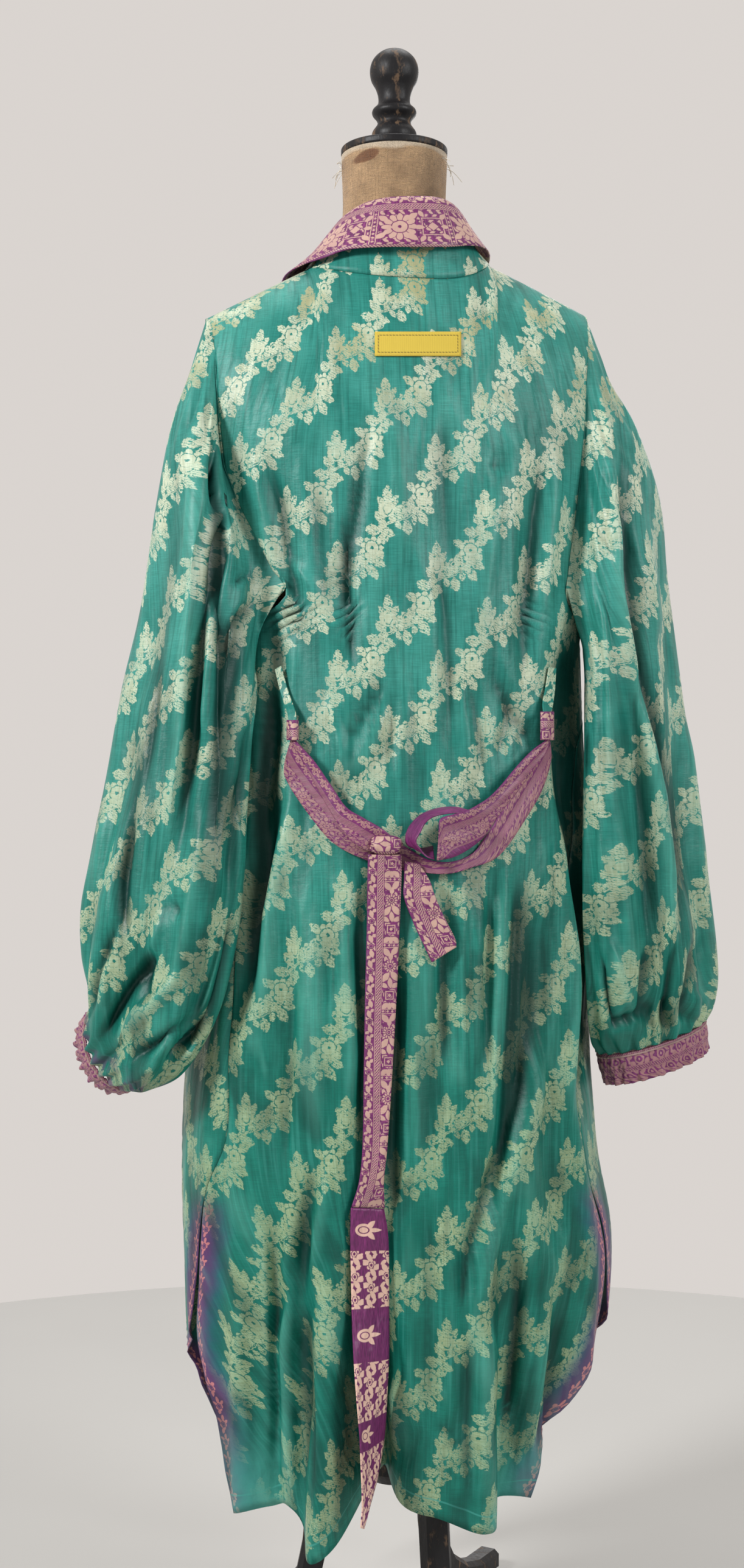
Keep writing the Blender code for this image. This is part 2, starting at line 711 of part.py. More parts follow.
def front_grid(side):
    """The front at -X for side -1, or at +X for 1, from its side edge to its front edge."""

    def edges(z):
        first = front_edge(z, side)
        last = angle_at(side * along(FRONT_EDGE, z)[..., 0], z, True)
        return first, last

    def hem(angle):
        return np.full(np.shape(angle), FRONT_HEM)

    grid = panel(edges, hem, FRONT_ACROSS, False)
    grid[0, :, 1] += SEAM_GAP
    return grid


def armhole_ring(side):
    """Places round the armhole, two for each step of the panels' edges.

    They go from the shoulder tip down the back to the underarm, and up the front. The other
    results are the way past the panels' edge and the way off the body at each place.
    """
    rows = PANEL_STEPS[0] + PANEL_STEPS[1]
    edge = 0 if side < 0 else -1
    loop = np.concatenate([BACK[: rows + 1, edge], FRONTS[side][1:rows, 0][::-1]])
    loop[rows] = (BACK[rows, edge] + FRONTS[side][rows, 0]) / 2
    between = (loop + np.roll(loop, -1, axis=0)) / 2
    loop = np.stack([loop, between], 1).reshape(-1, 3)
    step = unit(np.roll(loop, -1, axis=0) - np.roll(loop, 1, axis=0))
    core = loop * np.array([ARMHOLE_CORE[0], 0.0, 1.0])
    core[:, 2] = np.minimum(core[:, 2], ARMHOLE_CORE[1])
    off = unit(loop - core)
    return loop, unit(np.cross(step, off)) * -side, off


def clear_of_body(points, gap):
    """The same places, moved out where they would be inside the body or nearer than gap."""
    x, y, z = np.moveaxis(points, -1, 0)
    left, right, back, front = np.moveaxis(along(BODY, z), -1, 0)
    across = np.abs(x) / np.where(x < 0, left, right)
    deep = np.abs(y) / np.where(y < 0, back, front)
    size = (across**BOX_POWER + deep**BOX_POWER) ** (1 / BOX_POWER)
    turn = np.degrees(np.arctan2(across ** (BOX_POWER / 2), deep ** (BOX_POWER / 2)))
    angle = np.where(y < 0, turn, 180 - turn) * np.sign(x)
    radius = np.hypot(x, y)
    need = 1 + (folds(angle, z) + gap) * size / np.maximum(radius, 0.02)
    grow = np.maximum(1, need / np.maximum(size, 0.1))
    grow = 1 + (grow - 1) * smooth((SHOULDER_START - z) / SLEEVE_CLEAR_FADE)
    return np.stack([x * grow, y * grow, z], -1)


def sleeve_rings(table, side):
    rows = np.array(table)
    start, past, off = armhole_ring(side)
    count = len(start)
    turn = np.linspace(0, 2 * np.pi, count, endpoint=False)
    outer = seen(rows[:, 0], rows[:, 1], rows[:, 4])
    inner = seen(rows[:, 2], rows[:, 3], rows[:, 5])
    near = to_robe(rows[:, 6], rows[:, 7], rows[:, 8])
    middle, half = (outer + inner) / 2, (outer - inner) / 2
    rings = (
        middle[:, None]
        + half[:, None] * np.cos(turn)[None, :, None]
        + near[:, None] * np.sin(turn)[None, :, None]
    )
    away = rings - middle[:, None]
    away /= np.linalg.norm(away, axis=-1, keepdims=True)
    share = np.linspace(0, 1, len(rows))[:, None]
    degrees = np.degrees(turn)[None, :]
    push = np.zeros((len(rows), count))
    for angle, width, deep, first, last in SLEEVE_FOLDS:
        apart = (degrees - angle + 180) % 360 - 180
        there = smooth((share - first) * 6) * smooth((last - share) * 6)
        push += deep * there * np.exp(-((apart / width) ** 2))
    zigzag = np.where(np.arange(count) % 2, -1, 1)[None, :]
    near_end = np.exp(-((share / GATHER_FADE[0]) ** 2))
    near_end += np.exp(-(((1 - share) / GATHER_FADE[1]) ** 2))
    push += SLEEVE_GATHER * zigzag * near_end
    rings = clear_of_body(rings + away * push[..., None], SLEEVE_CLEAR)
    toward = unit(rings[0] - start)
    ahead = (toward * past).sum(-1, keepdims=True)
    toward = unit(toward + np.maximum(SLEEVE_AHEAD - ahead, 0) * past)
    start += toward * SLEEVE_START + off * SLEEVE_TURN * np.clip(-ahead, 0, 1)
    second = clear_of_body(start + (rings[0] - start) * SLEEVE_SECOND, SLEEVE_CLEAR)
    return np.concatenate([start[None], second[None], rings])


def cuff(name, ring):
    """A smocked band that goes on from the sleeve's last ring, with a ruffled free edge."""
    middle = ring.mean(0)
    outward = np.cross(ring[0] - middle, ring[len(ring) // 4] - middle)
    outward /= np.linalg.norm(outward)
    if outward[2] > 0:
        outward = -outward
    flat = ring - ((ring - middle) @ outward)[:, None] * outward
    away = flat - middle
    away /= np.linalg.norm(away, axis=-1, keepdims=True)
    zigzag = np.where(np.arange(len(ring)) % 2, -1, 1)[:, None]
    walls = []
    for share, grow, wave in CUFF_RINGS:
        along_axis = outward * (CUFF_START + CUFF_HEIGHT * share)
        walls.append(flat + along_axis + away * (grow + CUFF_RUFFLE * wave * zigzag))
    sheet(name, np.array(walls), PURPLE_SILK, CUFF_CLOTH, closed=True)


def sleeve(name, cuff_name, table, side):
    rings = sleeve_rings(table, side)
    sheet(name, rings, GREEN_SILK, closed=True)
    last, middle = rings[-1], rings[-1].mean(0)
    zigzag = np.where(np.arange(len(last)) % 2, -1, 1)[:, None]
    away = (last - middle) / np.linalg.norm(last - middle, axis=-1, keepdims=True)
    cuff(cuff_name, last - away * zigzag * SLEEVE_GATHER)


def back_surface(x, drop):
    """A place of the back panel this far below the shoulder line."""
    z = crest(x) - drop
    return section(angle_at(x, z), z)


def neck_stations():
    """Round the back of the neck from left to right: the fold, the seam and a place below it."""
    right = np.array(COLLAR_BACK)[:, :4]
    left = right[1:][::-1] * np.array([-1, 1, 1, -1])
    rows = np.concatenate([left, right])
    fold, x = rows[:, :3], rows[:, 3]
    fold[:, 2] += NECK_TILT * np.clip(fold[:, 0] / NECK_HALF, -1, 1)
    z = top_height(x, True)
    sewn = section(angle_at(x, z), z)
    middle, shoulder = COLLAR_DROP
    drop = middle + (shoulder - middle) * np.abs(x) / NECK_HALF
    below = back_surface(x * COLLAR_SPREAD, drop)
    return fold, sewn, below


def walk(line, reach):
    """The place this far along a line of places."""
    steps = np.linalg.norm(np.diff(line, axis=0), axis=1)
    gone = np.concatenate([[0], np.cumsum(steps)])
    ahead = unit(line[0] - line[1])
    past = max(-reach, 0.0)
    reach = max(reach, 0.0)
    return np.array([np.interp(reach, gone, line[:, k]) for k in range(3)]) + ahead * past


def collar():
    """One band from the left front's hem round the neck to the right front's hem.

    It is folded over the edge of the cloth that it is sewn to.
    """
    lines = list(FRONTS[-1][::-1, ::-1][:, :BAND_POINTS])
    lines += [np.stack(place) for place in zip(*neck_stations())]
    lines += list(FRONTS[1][:, ::-1][:, :BAND_POINTS])
    rows = np.array(COLLAR_BACK)
    leaf = np.concatenate([rows[:0:-1, 4], rows[:, 5]])
    shares = smooth(np.arange(1, len(FRONTS[1]) + 1) / COLLAR_GROWS)
    right = leaf[-1] + (BAND_WIDTH - leaf[-1]) * shares
    left = leaf[0] + (BAND_WIDTH - leaf[0]) * shares
    width = np.concatenate([left[::-1], leaf, right])
    from_middle = np.abs(np.arange(len(lines)) - (len(lines) - 1) / 2)
    lean = smooth((from_middle - COLLAR_LEAN[0]) / COLLAR_LEAN[1])
    stand = COLLAR_STAND_OFF + (BAND_SPACE - COLLAR_STAND_OFF) * lean
    edge = np.array([line[0] for line in lines])
    ahead = unit(np.gradient(edge, axis=0))
    grid = []
    for line, step, wide, off in zip(lines, ahead, width, stand):
        places = ((BAND_INNER, -1), (BAND_TURN, -1), (-BAND_FOLD, 0), (BAND_TURN, 1),
                  (wide / 2, 1), (wide, 1))
        row = []
        for reach, way in places:
            near = walk(line, max(reach, 0.0) - BAND_TURN)
            far = walk(line, max(reach, 0.0) + BAND_TURN)
            out = unit(np.cross(far - near, step))
            space = BAND_SPACE + (off - BAND_SPACE) * max(reach, 0.0) / wide * (way > 0)
            row.append(walk(line, reach) + out * space * way)
        grid.append(row)
    sheet("collar_band", np.array(grid), PURPLE_SILK, BAND_CLOTH)


def neck_band():
    fold, sewn, _ = neck_stations()
    shares = np.linspace(NECK_BAND_START, 1, NECK_BAND_ROWS)
    grid = np.stack([fold + (sewn - fold) * s for s in shares])
    grid[-1] += unit(fold - sewn) * CLOTH
    sheet("neck_band", grid, GREEN_SILK)


def strip(name, table, coat):
    """A belt stretch through the places in its table."""
    rows = np.array(table, float)
    at = np.linspace(0, len(rows) - 1, (len(rows) - 1) * STRIP_STEPS + 1)
    numbered = np.column_stack([np.arange(len(rows)), rows])
    fine = along(numbered, at)
    upper = lay(fine[:, 0], fine[:, 1], fine[:, 4])
    lower = lay(fine[:, 2], fine[:, 3], fine[:, 5])
    shares = np.linspace(0, 1, STRIP_ACROSS)
    grid = np.stack([upper + (lower - upper) * s for s in shares], 1)
    sheet(name, grid, coat, BAND_CLOTH)


def knot():
    """The lump where the two ends cross."""
    centre = lay(np.array([KNOT_MIDDLE[0]]), np.array([KNOT_MIDDLE[1]]), np.array([KNOT_LIFT]))[0]
    turn = np.linspace(0, 2 * np.pi, KNOT_ROUND, endpoint=False)
    blunt, boxy = KNOT_POWERS
    rings = []
    for latitude in np.radians(np.linspace(*KNOT_LATITUDES)):
        flat = np.cos(latitude) ** blunt
        side = KNOT_HALF[0] * flat * np.sign(np.cos(turn)) * np.abs(np.cos(turn)) ** boxy
        behind = KNOT_HALF[2] * flat * np.sign(np.sin(turn)) * np.abs(np.sin(turn)) ** boxy
        rings.append(centre + to_robe(side, np.sin(latitude) * KNOT_HALF[1], behind))
    loft("belt_knot", np.array(rings), PURPLE_SILK)


def carrier(name, place):
    """A small tube of belt cloth, flattened, that the belt's two layers hang through."""
    left, right, top, bottom = place
    turn = np.linspace(0, 2 * np.pi, CARRIER_ROUND, endpoint=False)
    columns = (left + right) / 2 + (right - left) / 2 * np.cos(turn)
    lifts = CARRIER_LIFT + CARRIER_HALF * np.sin(turn)
    rows = np.linspace(top, bottom, CARRIER_RINGS)
    rings = [lay(columns, np.full(CARRIER_ROUND, row), lifts) for row in rows]
    sheet(name, np.array(rings), PURPLE_SILK, CARRIER_CLOTH, closed=True)


def label():
    left, right, top, bottom = LABEL
    across, down = LABEL_GRID
    places = np.linspace(left, right, across), np.linspace(top, bottom, down)
    columns, rows = np.meshgrid(*places)
    grid = lay(columns, rows, np.full(columns.shape, LABEL_LIFT))
    sheet("back_label", grid, YELLOW_TAPE, LABEL_CLOTH)


def dress_form():
    turn = np.linspace(0, 2 * np.pi, FORM_ROUND, endpoint=False)
    rings = []
    for z, half, back, front in FORM:
        y = np.where(np.cos(turn) > 0, back, front) * np.cos(turn)
        rings.append(np.stack([half * np.sin(turn), -y, np.full(FORM_ROUND, z)], -1))
    loft("form_torso", np.array(rings), OLD_LINEN)


def turned(name, profile, foot, steps):
    """A turned piece of black wood: radius and height over its foot, from top to bottom."""
    points = list(profile)
    if points[0][0] > 0:
        points = [(0.0, points[0][1])] + points
    points.append((0.0, points[-1][1]))
    vertices = [(r, 0.0, foot + h) for r, h in points]
    edges = [(i, i + 1) for i in range(len(points) - 1)]
    mesh = bpy.data.meshes.new(name)
    mesh.from_pydata(vertices, edges, [])
    mesh.materials.append(BLACK_WOOD)
    made = bpy.data.objects.new(name, mesh)
    PARTS.objects.link(made)
    spin = made.modifiers.new("turn", "SCREW")
    spin.steps = steps
    spin.render_steps = steps
    spin.use_merge_vertices = True
    spin.merge_threshold = 0.00005
    spin.use_smooth_shade = True


def stand():
    top = FORM[-1][0] + SEAM_GAP
    cap = ((CAP_RADIUS - CAP_EDGE, CAP_HEIGHT), (CAP_RADIUS, CAP_HEIGHT - CAP_EDGE),
           (CAP_RADIUS, CAP_EDGE), (CAP_RADIUS - CAP_EDGE, 0.0))
    turned("neck_cap", cap, top, 24)
    turned("finial", FINIAL, top + CAP_HEIGHT + SEAM_GAP, 16)
    pole_top = FORM[0][0] - SEAM_GAP
    pole = ((POLE_RADIUS, pole_top - POLE_FOOT), (POLE_RADIUS, 0.0))
    turned("stand_pole", pole, POLE_FOOT, 16)
    low, high = HUB_HEIGHTS
    end, slant = HUB_RADIUS * HUB_END, HUB_SLANT
    hub = ((end, high - low), (HUB_RADIUS, high - low - slant), (HUB_RADIUS, slant), (end, 0.0))
    turned("stand_hub", hub, low, 24)
    for number, turn in enumerate(LEG_TURNS, 1):
        leg(f"stand_leg_{number}", np.radians(turn))


def leg(name, turn):
    rows = np.array(LEG)
    slope = unit(np.gradient(rows[:, :2], axis=0))
    across = np.stack([-slope[:, 1], slope[:, 0]], -1)
    across[0] = (0, 1)
    radial = np.array([np.cos(turn), np.sin(turn), 0])
    sideways = np.array([-np.sin(turn), np.cos(turn), 0])
    upright = np.array([0, 0, 1.0])
    rings = []
    for (reach, height, thick), normal in zip(rows, across):
        ring = []
        for wide, high in LEG_CORNERS:
            flat = np.array([reach, height]) + normal * high * thick
            flat[1] = max(flat[1], 0.0)
            ring.append(radial * flat[0] + upright * flat[1] + sideways * wide * LEG_WIDTH)
        rings.append(ring)
    loft(name, np.array(rings), BLACK_WOOD)


for old in list(bpy.data.objects):
    bpy.data.objects.remove(old)
PARTS = bpy.data.collections.new("kimono_robe")
bpy.context.scene.collection.children.link(PARTS)
GREEN_SILK = material("green_silk", GREEN, 0.4)
PURPLE_SILK = material("purple_silk", PURPLE, 0.5)
YELLOW_TAPE = material("yellow_tape", YELLOW, 0.6)
OLD_LINEN = material("old_linen", LINEN, 0.9)
BLACK_WOOD = material("black_wood", BLACK, 0.4)

BACK = back_grid()
FRONTS = {-1: front_grid(-1), 1: front_grid(1)}
sheet("back_panel", BACK, GREEN_SILK)
sheet("front_left", FRONTS[-1], GREEN_SILK)
sheet("front_right", FRONTS[1], GREEN_SILK)
sleeve("sleeve_left", "cuff_left", LEFT_SLEEVE, -1)
sleeve("sleeve_right", "cuff_right", RIGHT_SLEEVE, 1)
neck_band()
collar()
label()
strip("belt_garland", GARLAND, PURPLE_SILK)
strip("belt_strap_left", STRAP_LEFT, PURPLE_SILK)
strip("belt_strap_right", STRAP_RIGHT, PURPLE_SILK)
strip("belt_bow_loop", BOW_LOOP, PURPLE_SILK)
strip("belt_short_tail", SHORT_TAIL, PURPLE_SILK)
strip("belt_tail_upper", TAIL_UPPER, PURPLE_SILK)
strip("belt_tail_lower", TAIL_LOWER, PURPLE_SILK)
knot()
strip("carrier_tab_left", TAB_LEFT, GREEN_SILK)
strip("carrier_tab_right", TAB_RIGHT, GREEN_SILK)
carrier("carrier_left", CARRIER_LEFT)
carrier("carrier_right", CARRIER_RIGHT)
dress_form()
stand()
for made in PARTS.objects:
    made.location = (-WHOLE_MIDDLE[0], -WHOLE_MIDDLE[1], 0)
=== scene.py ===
"""Looks of the kimono robe: brocade silk cloth, borders, cuffs, belt, label, form and stand.

Metres, +Z up. The robe's back faces -Y. Places are worked out from the dress form's axis, as in
the part's source, and everything moves by WHOLE_MIDDLE at the end. Pattern sizes are in mm.
"""

import bpy
import bmesh
import numpy as np
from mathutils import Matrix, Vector


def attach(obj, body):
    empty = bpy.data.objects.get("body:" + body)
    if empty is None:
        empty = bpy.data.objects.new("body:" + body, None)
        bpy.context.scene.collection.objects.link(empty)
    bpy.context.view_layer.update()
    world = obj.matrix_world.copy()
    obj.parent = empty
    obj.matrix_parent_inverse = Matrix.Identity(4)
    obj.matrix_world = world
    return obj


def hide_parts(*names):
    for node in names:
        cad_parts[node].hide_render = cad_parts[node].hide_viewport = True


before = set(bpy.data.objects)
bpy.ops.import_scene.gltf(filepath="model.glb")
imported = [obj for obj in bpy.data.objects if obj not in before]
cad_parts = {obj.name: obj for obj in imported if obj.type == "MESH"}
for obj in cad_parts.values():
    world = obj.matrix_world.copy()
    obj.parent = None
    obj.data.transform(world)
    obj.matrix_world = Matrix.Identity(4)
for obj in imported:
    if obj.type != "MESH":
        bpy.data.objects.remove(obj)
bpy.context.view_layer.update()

# How many times finer the cloth is here than in the solids: panels, sleeves down and round,
# bands along and across.
FINER = 5
SLEEVE_FINER = (8, 6)
BAND_FINER = (4, 5)
STRIP_FINER = 5
STRIP_FINER_ACROSS = 4
NECK_FINER = (4, 6)
CUFF_FINER = (8, 8)
# Columns of a tube that are repeated at both ends while it is made finer.
TUBE_LAP = 3
# Thickness of the cloth here, and of the solids' cloth.
THIN = 0.0009
THIN_BAND = 0.0012
THIN_CUFF = 0.00154
THIN_LABEL = 0.0008
CLOTH = 0.0016
SEAM_GAP = 0.0003
# How square the body's level sections are: 2 is an ellipse.
BOX_POWER = 2.3
# Least distance from the axis that a fold's push is shared over, and least share of the
# body's size.
LEAST_RADIUS = 0.02
LEAST_SIZE = 0.1

# The middle of the whole, from the form's axis.
WHOLE_MIDDLE = (0.0143, -0.0226)

# The place that the robe is seen from, which turns outlines seen there into places here.
VIEW_TURN = np.radians(-13)
VIEW_DISTANCE = 2.2
VIEW_HEIGHT = 0.92
VIEW_SIDE_STEP = 0.024
VIEW_FOCAL = 3350
VIEW_MIDDLE = (611.5, 1288)
# Angles of the body that this place sees, and how far behind the axis it starts to look.
SEEN_ANGLES = (-86, 76)
SEEN_STEPS = 325
SEEN_BEHIND = -0.12
SEEN_ROUNDS = 3
# How fast the creases that are seen give way to those of the hidden sides.
FACING_STEEP = 3

# The body's half sizes: height, left, right, back, front.
BODY = (
    (0.14, 0.213, 0.222, 0.130, 0.122),
    (0.30, 0.222, 0.226, 0.142, 0.128),
    (0.45, 0.229, 0.232, 0.150, 0.135),
    (0.52, 0.229, 0.218, 0.152, 0.137),
    (0.60, 0.226, 0.211, 0.152, 0.138),
    (0.75, 0.208, 0.212, 0.146, 0.136),
    (0.90, 0.190, 0.210, 0.134, 0.132),
    (1.00, 0.182, 0.206, 0.126, 0.130),
    (1.09, 0.180, 0.204, 0.122, 0.130),
    (1.20, 0.194, 0.210, 0.118, 0.130),
    (1.32, 0.222, 0.228, 0.114, 0.122),
    (1.52, 0.244, 0.250, 0.105, 0.108),
)
# The shoulder line: where the body starts to round over, how round, and its ends.
SHOULDER_START = 1.25
SHOULDER_ROUND = 2.2
NECK_HALF = 0.100
NECK_DOME = 0.065
NECK_HEIGHT = 1.474
NECK_BACK_HEIGHT = 1.447
TIP_X = (-0.205, 0.212)
TIP_HEIGHT = (1.410, 1.435)
NECK_TILT = 0.008
# Share of its length at which the shoulder line's slope ends, a little past the tip.
PAST_TIP = 1.2
# How fast a fold goes from its hem's depth to its middle's, and fades at its top.
FOLD_RISE = 2
FOLD_END = 3

# Side edges of the back panel below the underarm: height, left angle, right angle.
BACK_SIDES = (
    (0.15, -50, 22),
    (0.176, -54.5, 25),
    (0.21, -60, 29),
    (0.246, -62, 37),
    (0.287, -65, 48),
    (0.337, -76, 59),
    (0.41, -72, 65),
    (0.45, -69, 61),
    (0.51, -65, 54),
    (0.56, -57, 51),
    (0.65, -58, 51),
    (0.79, -61, 55),
    (0.95, -67, 66),
)
# The same for the fronts' slit edges, which round away under the back panel's.
FRONT_SLITS = (
    (0.15, -132, 132),
    (0.18, -132, 129),
    (0.20, -130, 124),
    (0.23, -126, 116),
    (0.26, -122, 108),
    (0.30, -116, 98),
    (0.337, -92, 80),
    (0.41, -75, 68),
    (0.45, -71, 63.5),
    (0.50, -66.5, 56.1),
)
UNDERARM = (1.078, -76, 84)
SLIT_TOP = 0.50
SEAM_ANGLE = 0.22
LEVEL_MARGIN = 0.001
# Steps down a panel: over the shoulder, to the underarm, to the slit's top, to the hem.
PANEL_STEPS = (6, 4, 10, 8)
# A panel's grid starts at this height, and is worked out again this many times.
PANEL_TOP = 1.43
PANEL_ROUNDS = 8
BACK_ACROSS = 29
FRONT_ACROSS = 11
# Armholes above the underarm: height, left and right distance from the middle.
BACK_ARMHOLE = (
    (1.105, 0.1405, 0.176),
    (1.145, 0.149, 0.172),
    (1.173, 0.163, 0.1765),
    (1.207, 0.178, 0.183),
    (1.24, 0.190, 0.187),
    (1.275, 0.1955, 0.190),
    (1.315, 0.200, 0.194),
    (1.355, 0.201, 0.198),
    (1.39, 0.203, 0.204),
    (1.435, 0.205, 0.212),
)
FRONT_ARMHOLE = (
    (1.15, 0.153, 0.165),
    (1.20, 0.170, 0.178),
    (1.28, 0.188, 0.192),
    (1.355, 0.198, 0.200),
    (1.435, 0.205, 0.212),
)
# The front armhole from the underarm up: height, left angle, right angle.
FRONT_UNDERARM = ((1.078, -76.2, 84.2), (1.10, -97, 99), (1.125, -112, 110))

# The back hem's height by angle, and the fronts'.
BACK_HEM = (
    (-70, 0.190),
    (-57, 0.178),
    (-45, 0.186),
    (-34, 0.187),
    (-29, 0.166),
    (-25, 0.150),
    (-19, 0.160),
    (-14, 0.205),
    (-10, 0.212),
    (-5, 0.190),
    (2, 0.178),
    (9, 0.164),
    (14, 0.166),
    (17, 0.180),
    (30, 0.182),
)
FRONT_HEM = 0.174
# Front edge: height, distance from the middle.
FRONT_EDGE = (
    (0.19, 0.036),
    (0.50, 0.030),
    (0.80, 0.025),
    (1.00, 0.028),
    (1.15, 0.040),
    (1.27, 0.056),
    (1.38, 0.070),
    (1.45, 0.075),
    (1.52, 0.070),
)

# Folds of the hanging cloth: angle at the hem, angle at the top, half width in degrees,
# height of the top, depth at the hem in millimetres and depth half way up.
FOLDS = (
    (-22, -20, 6.0, 1.05, 50, 5),
    (-11, -12, 4.5, 1.00, -66, -6),
    (8, 4, 8.0, 1.02, 34, 5),
    (18, 14, 3.0, 0.95, -16, -5),
    (27, 24, 5.0, 0.96, 8, 6),
    (-42, -36, 5.0, 0.95, -10, -7),
    (-53, -50, 5.0, 0.90, 10, 5),
    (38, 36, 4.5, 0.95, -12, -7),
    (52, 50, 5.0, 0.80, 8, 5),
    (-66, -68, 5.0, 0.75, 6, 4),
    (78, 80, 6.0, 0.75, 6, 4),
    (-96, -100, 6.0, 0.85, -8, -5),
    (96, 98, 6.0, 0.85, -8, -5),
    (-116, -118, 7.0, 0.95, 14, 8),
    (116, 118, 7.0, 0.95, 14, 8),
    (-136, -138, 6.0, 0.95, -12, -7),
    (136, 138, 6.0, 0.95, -12, -7),
    (-154, -154, 6.0, 0.95, 14, 7),
    (154, 154, 6.0, 0.95, 14, 7),
)
HEM_LEVEL = 0.18
# Long creases of the upper back: angle, half width, height of the middle, reach, depth.
CREASES = (
    (-33, 3.5, 1.17, 0.14, 4.0),
    (-26, 3.0, 1.12, 0.16, -4.0),
    (24, 3.5, 1.18, 0.15, 4.0),
    (31, 3.0, 1.12, 0.16, -4.0),
)

# Sleeves, as the rings that a level look from the back shows. Columns and rows of the seen
# picture for the outer and the inner end, how far each end is behind the axis, then the
# step from the ring's middle to its near side: sideways, up, behind.
LEFT_SLEEVE = (
    (312, 622, 430, 1060, -0.060, -0.085, 0.000, 0.000, -0.070),
    (282, 706, 421, 1120, -0.065, -0.110, 0.000, 0.000, -0.065),
    (256, 840, 413, 1220, -0.068, -0.126, 0.000, 0.000, -0.060),
    (232, 1000, 406, 1330, -0.072, -0.134, 0.000, 0.000, -0.058),
    (202, 1130, 402, 1420, -0.074, -0.136, -0.002, 0.000, -0.058),
    (178, 1268, 393, 1515, -0.077, -0.139, -0.005, -0.003, -0.058),
    (153, 1398, 378, 1595, -0.080, -0.142, -0.009, -0.006, -0.056),
    (138, 1484, 361, 1656, -0.082, -0.142, -0.013, -0.008, -0.051),
    (141, 1556, 333, 1716, -0.084, -0.138, -0.018, -0.011, -0.043),
    (155, 1606, 296, 1766, -0.086, -0.130, -0.023, -0.014, -0.034),
    (161, 1636, 254, 1784, -0.088, -0.112, -0.025, -0.015, -0.025),
    (163, 1652, 231, 1782, -0.090, -0.096, -0.025, -0.015, -0.021),
)
RIGHT_SLEEVE = (
    (1002, 634, 956, 1080, 0.050, -0.010, 0.000, 0.000, -0.070),
    (1044, 704, 962, 1140, 0.057, -0.026, 0.000, 0.000, -0.065),
    (1083, 820, 961, 1230, 0.064, -0.034, 0.000, 0.000, -0.060),
    (1096, 950, 957, 1330, 0.068, -0.038, 0.000, 0.000, -0.058),
    (1115, 1100, 953, 1420, 0.071, -0.038, 0.000, 0.000, -0.058),
    (1134, 1240, 950, 1500, 0.074, -0.038, 0.000, 0.000, -0.058),
    (1150, 1356, 949, 1560, 0.075, -0.037, 0.000, 0.000, -0.058),
    (1166, 1464, 950, 1615, 0.076, -0.034, 0.000, -0.001, -0.058),
    (1177, 1556, 953, 1662, 0.076, -0.030, 0.000, -0.002, -0.056),
    (1179, 1612, 958, 1690, 0.074, -0.024, 0.000, -0.003, -0.053),
    (1171, 1648, 968, 1712, 0.070, -0.012, 0.000, -0.004, -0.048),
    (1157, 1672, 982, 1727, 0.064, 0.000, 0.000, -0.005, -0.045),
)
SLEEVE_GATHER = 0.0032
# Share of the length that the gathers fade over, from the shoulder and from the cuff.
GATHER_FADE = (0.12, 0.14)
SLEEVE_CLEAR = 0.007
SLEEVE_CLEAR_FADE = 0.06
# How far the sleeve starts past the panels' edge, and how far off the body it turns there.
SLEEVE_START = 0.0031
SLEEVE_TURN = 0.0036
SLEEVE_AHEAD = 0.8
# The second ring's share of the way from the start to the first ring of the table.
SLEEVE_SECOND = 0.55
# The body's core inside the armhole: its share of the width, and its highest place.
ARMHOLE_CORE = (0.6, 1.30)
# Long folds of both sleeves: angle round from the outer side, half width, depth, first and
# last share of the length.
SLEEVE_FOLDS = (
    (38, 11, -0.010, 0.10, 0.95),
    (66, 12, 0.009, 0.05, 0.90),
    (96, 10, -0.010, 0.15, 1.00),
    (126, 11, 0.008, 0.20, 0.95),
    (150, 9, -0.007, 0.25, 0.90),
    (215, 12, -0.007, 0.10, 0.95),
    (262, 13, 0.008, 0.10, 0.90),
    (306, 12, -0.008, 0.10, 0.95),
    (340, 10, 0.006, 0.20, 0.90),
)
# How fast a long fold fades in and out along the sleeve.
FOLD_FADE = 6
# Share of the sleeve where its creases start, and how fast they fade in and out.
CREASE_START = 0.10
CREASE_FADES = (8, 14)
# Levels at which a sleeve's middle and width are measured for its pattern: their step, how
# near to one a place lies, how many are evened out together, and the least mean radius.
LEVEL_STEP = 0.01
LEVEL_NEAR = 0.012
LEVELS_EVENED = 13
SLEEVE_RADIUS = 0.055
# The sleeve's first rose lies within this angle of the middle of the side that is seen.
ROSE_TURN = 1.5
CUFF_HEIGHT = 0.034
CUFF_RUFFLE = 0.0017
CUFF_START = 0.0012
# The cuff's smocking: puckers round it, waves down it, their slant and depth.
SMOCKING = (60, 4, 3, 0.0006)
# Its wavy free edge: waves round it, their start and depth, and how far down and how fast
# it begins.
WAVY_EDGE = (33, 1.0, 0.0016, 0.55, 2.2)
# The cord along its seam: the cuff's row, how far it lies off, and its radius.
PIPING = (2, 0.0012, 0.0011)
# A cuff's rings: share of its height, how far the ring is let out, share of the ruffle.
CUFF_RINGS = (
    (0.00, -0.0002, 0.1),
    (0.35, 0.0010, 0.4),
    (0.70, -0.0012, 0.6),
    (1.00, -0.0030, 1.0),
)

# Collar: the fold line's x, y and z round the back of the neck, the neck seam's x, and how
# wide the folded leaf is there on the left and on the right.
COLLAR_BACK = (
    (0.000, -0.074, 1.530, 0.000, 0.056, 0.056),
    (0.026, -0.070, 1.530, 0.034, 0.056, 0.056),
    (0.046, -0.057, 1.528, 0.064, 0.057, 0.052),
    (0.060, -0.038, 1.522, 0.084, 0.060, 0.047),
    (0.068, -0.018, 1.513, 0.096, 0.062, 0.043),
)
COLLAR_STAND_OFF = 0.012
# How far below the neck seam the leaf's far edge lies: at the middle and at the shoulders.
COLLAR_DROP = (0.038, 0.003)
COLLAR_SPREAD = 1.34
# Stations from the shoulder over which the leaf grows to the band's width.
COLLAR_GROWS = 8
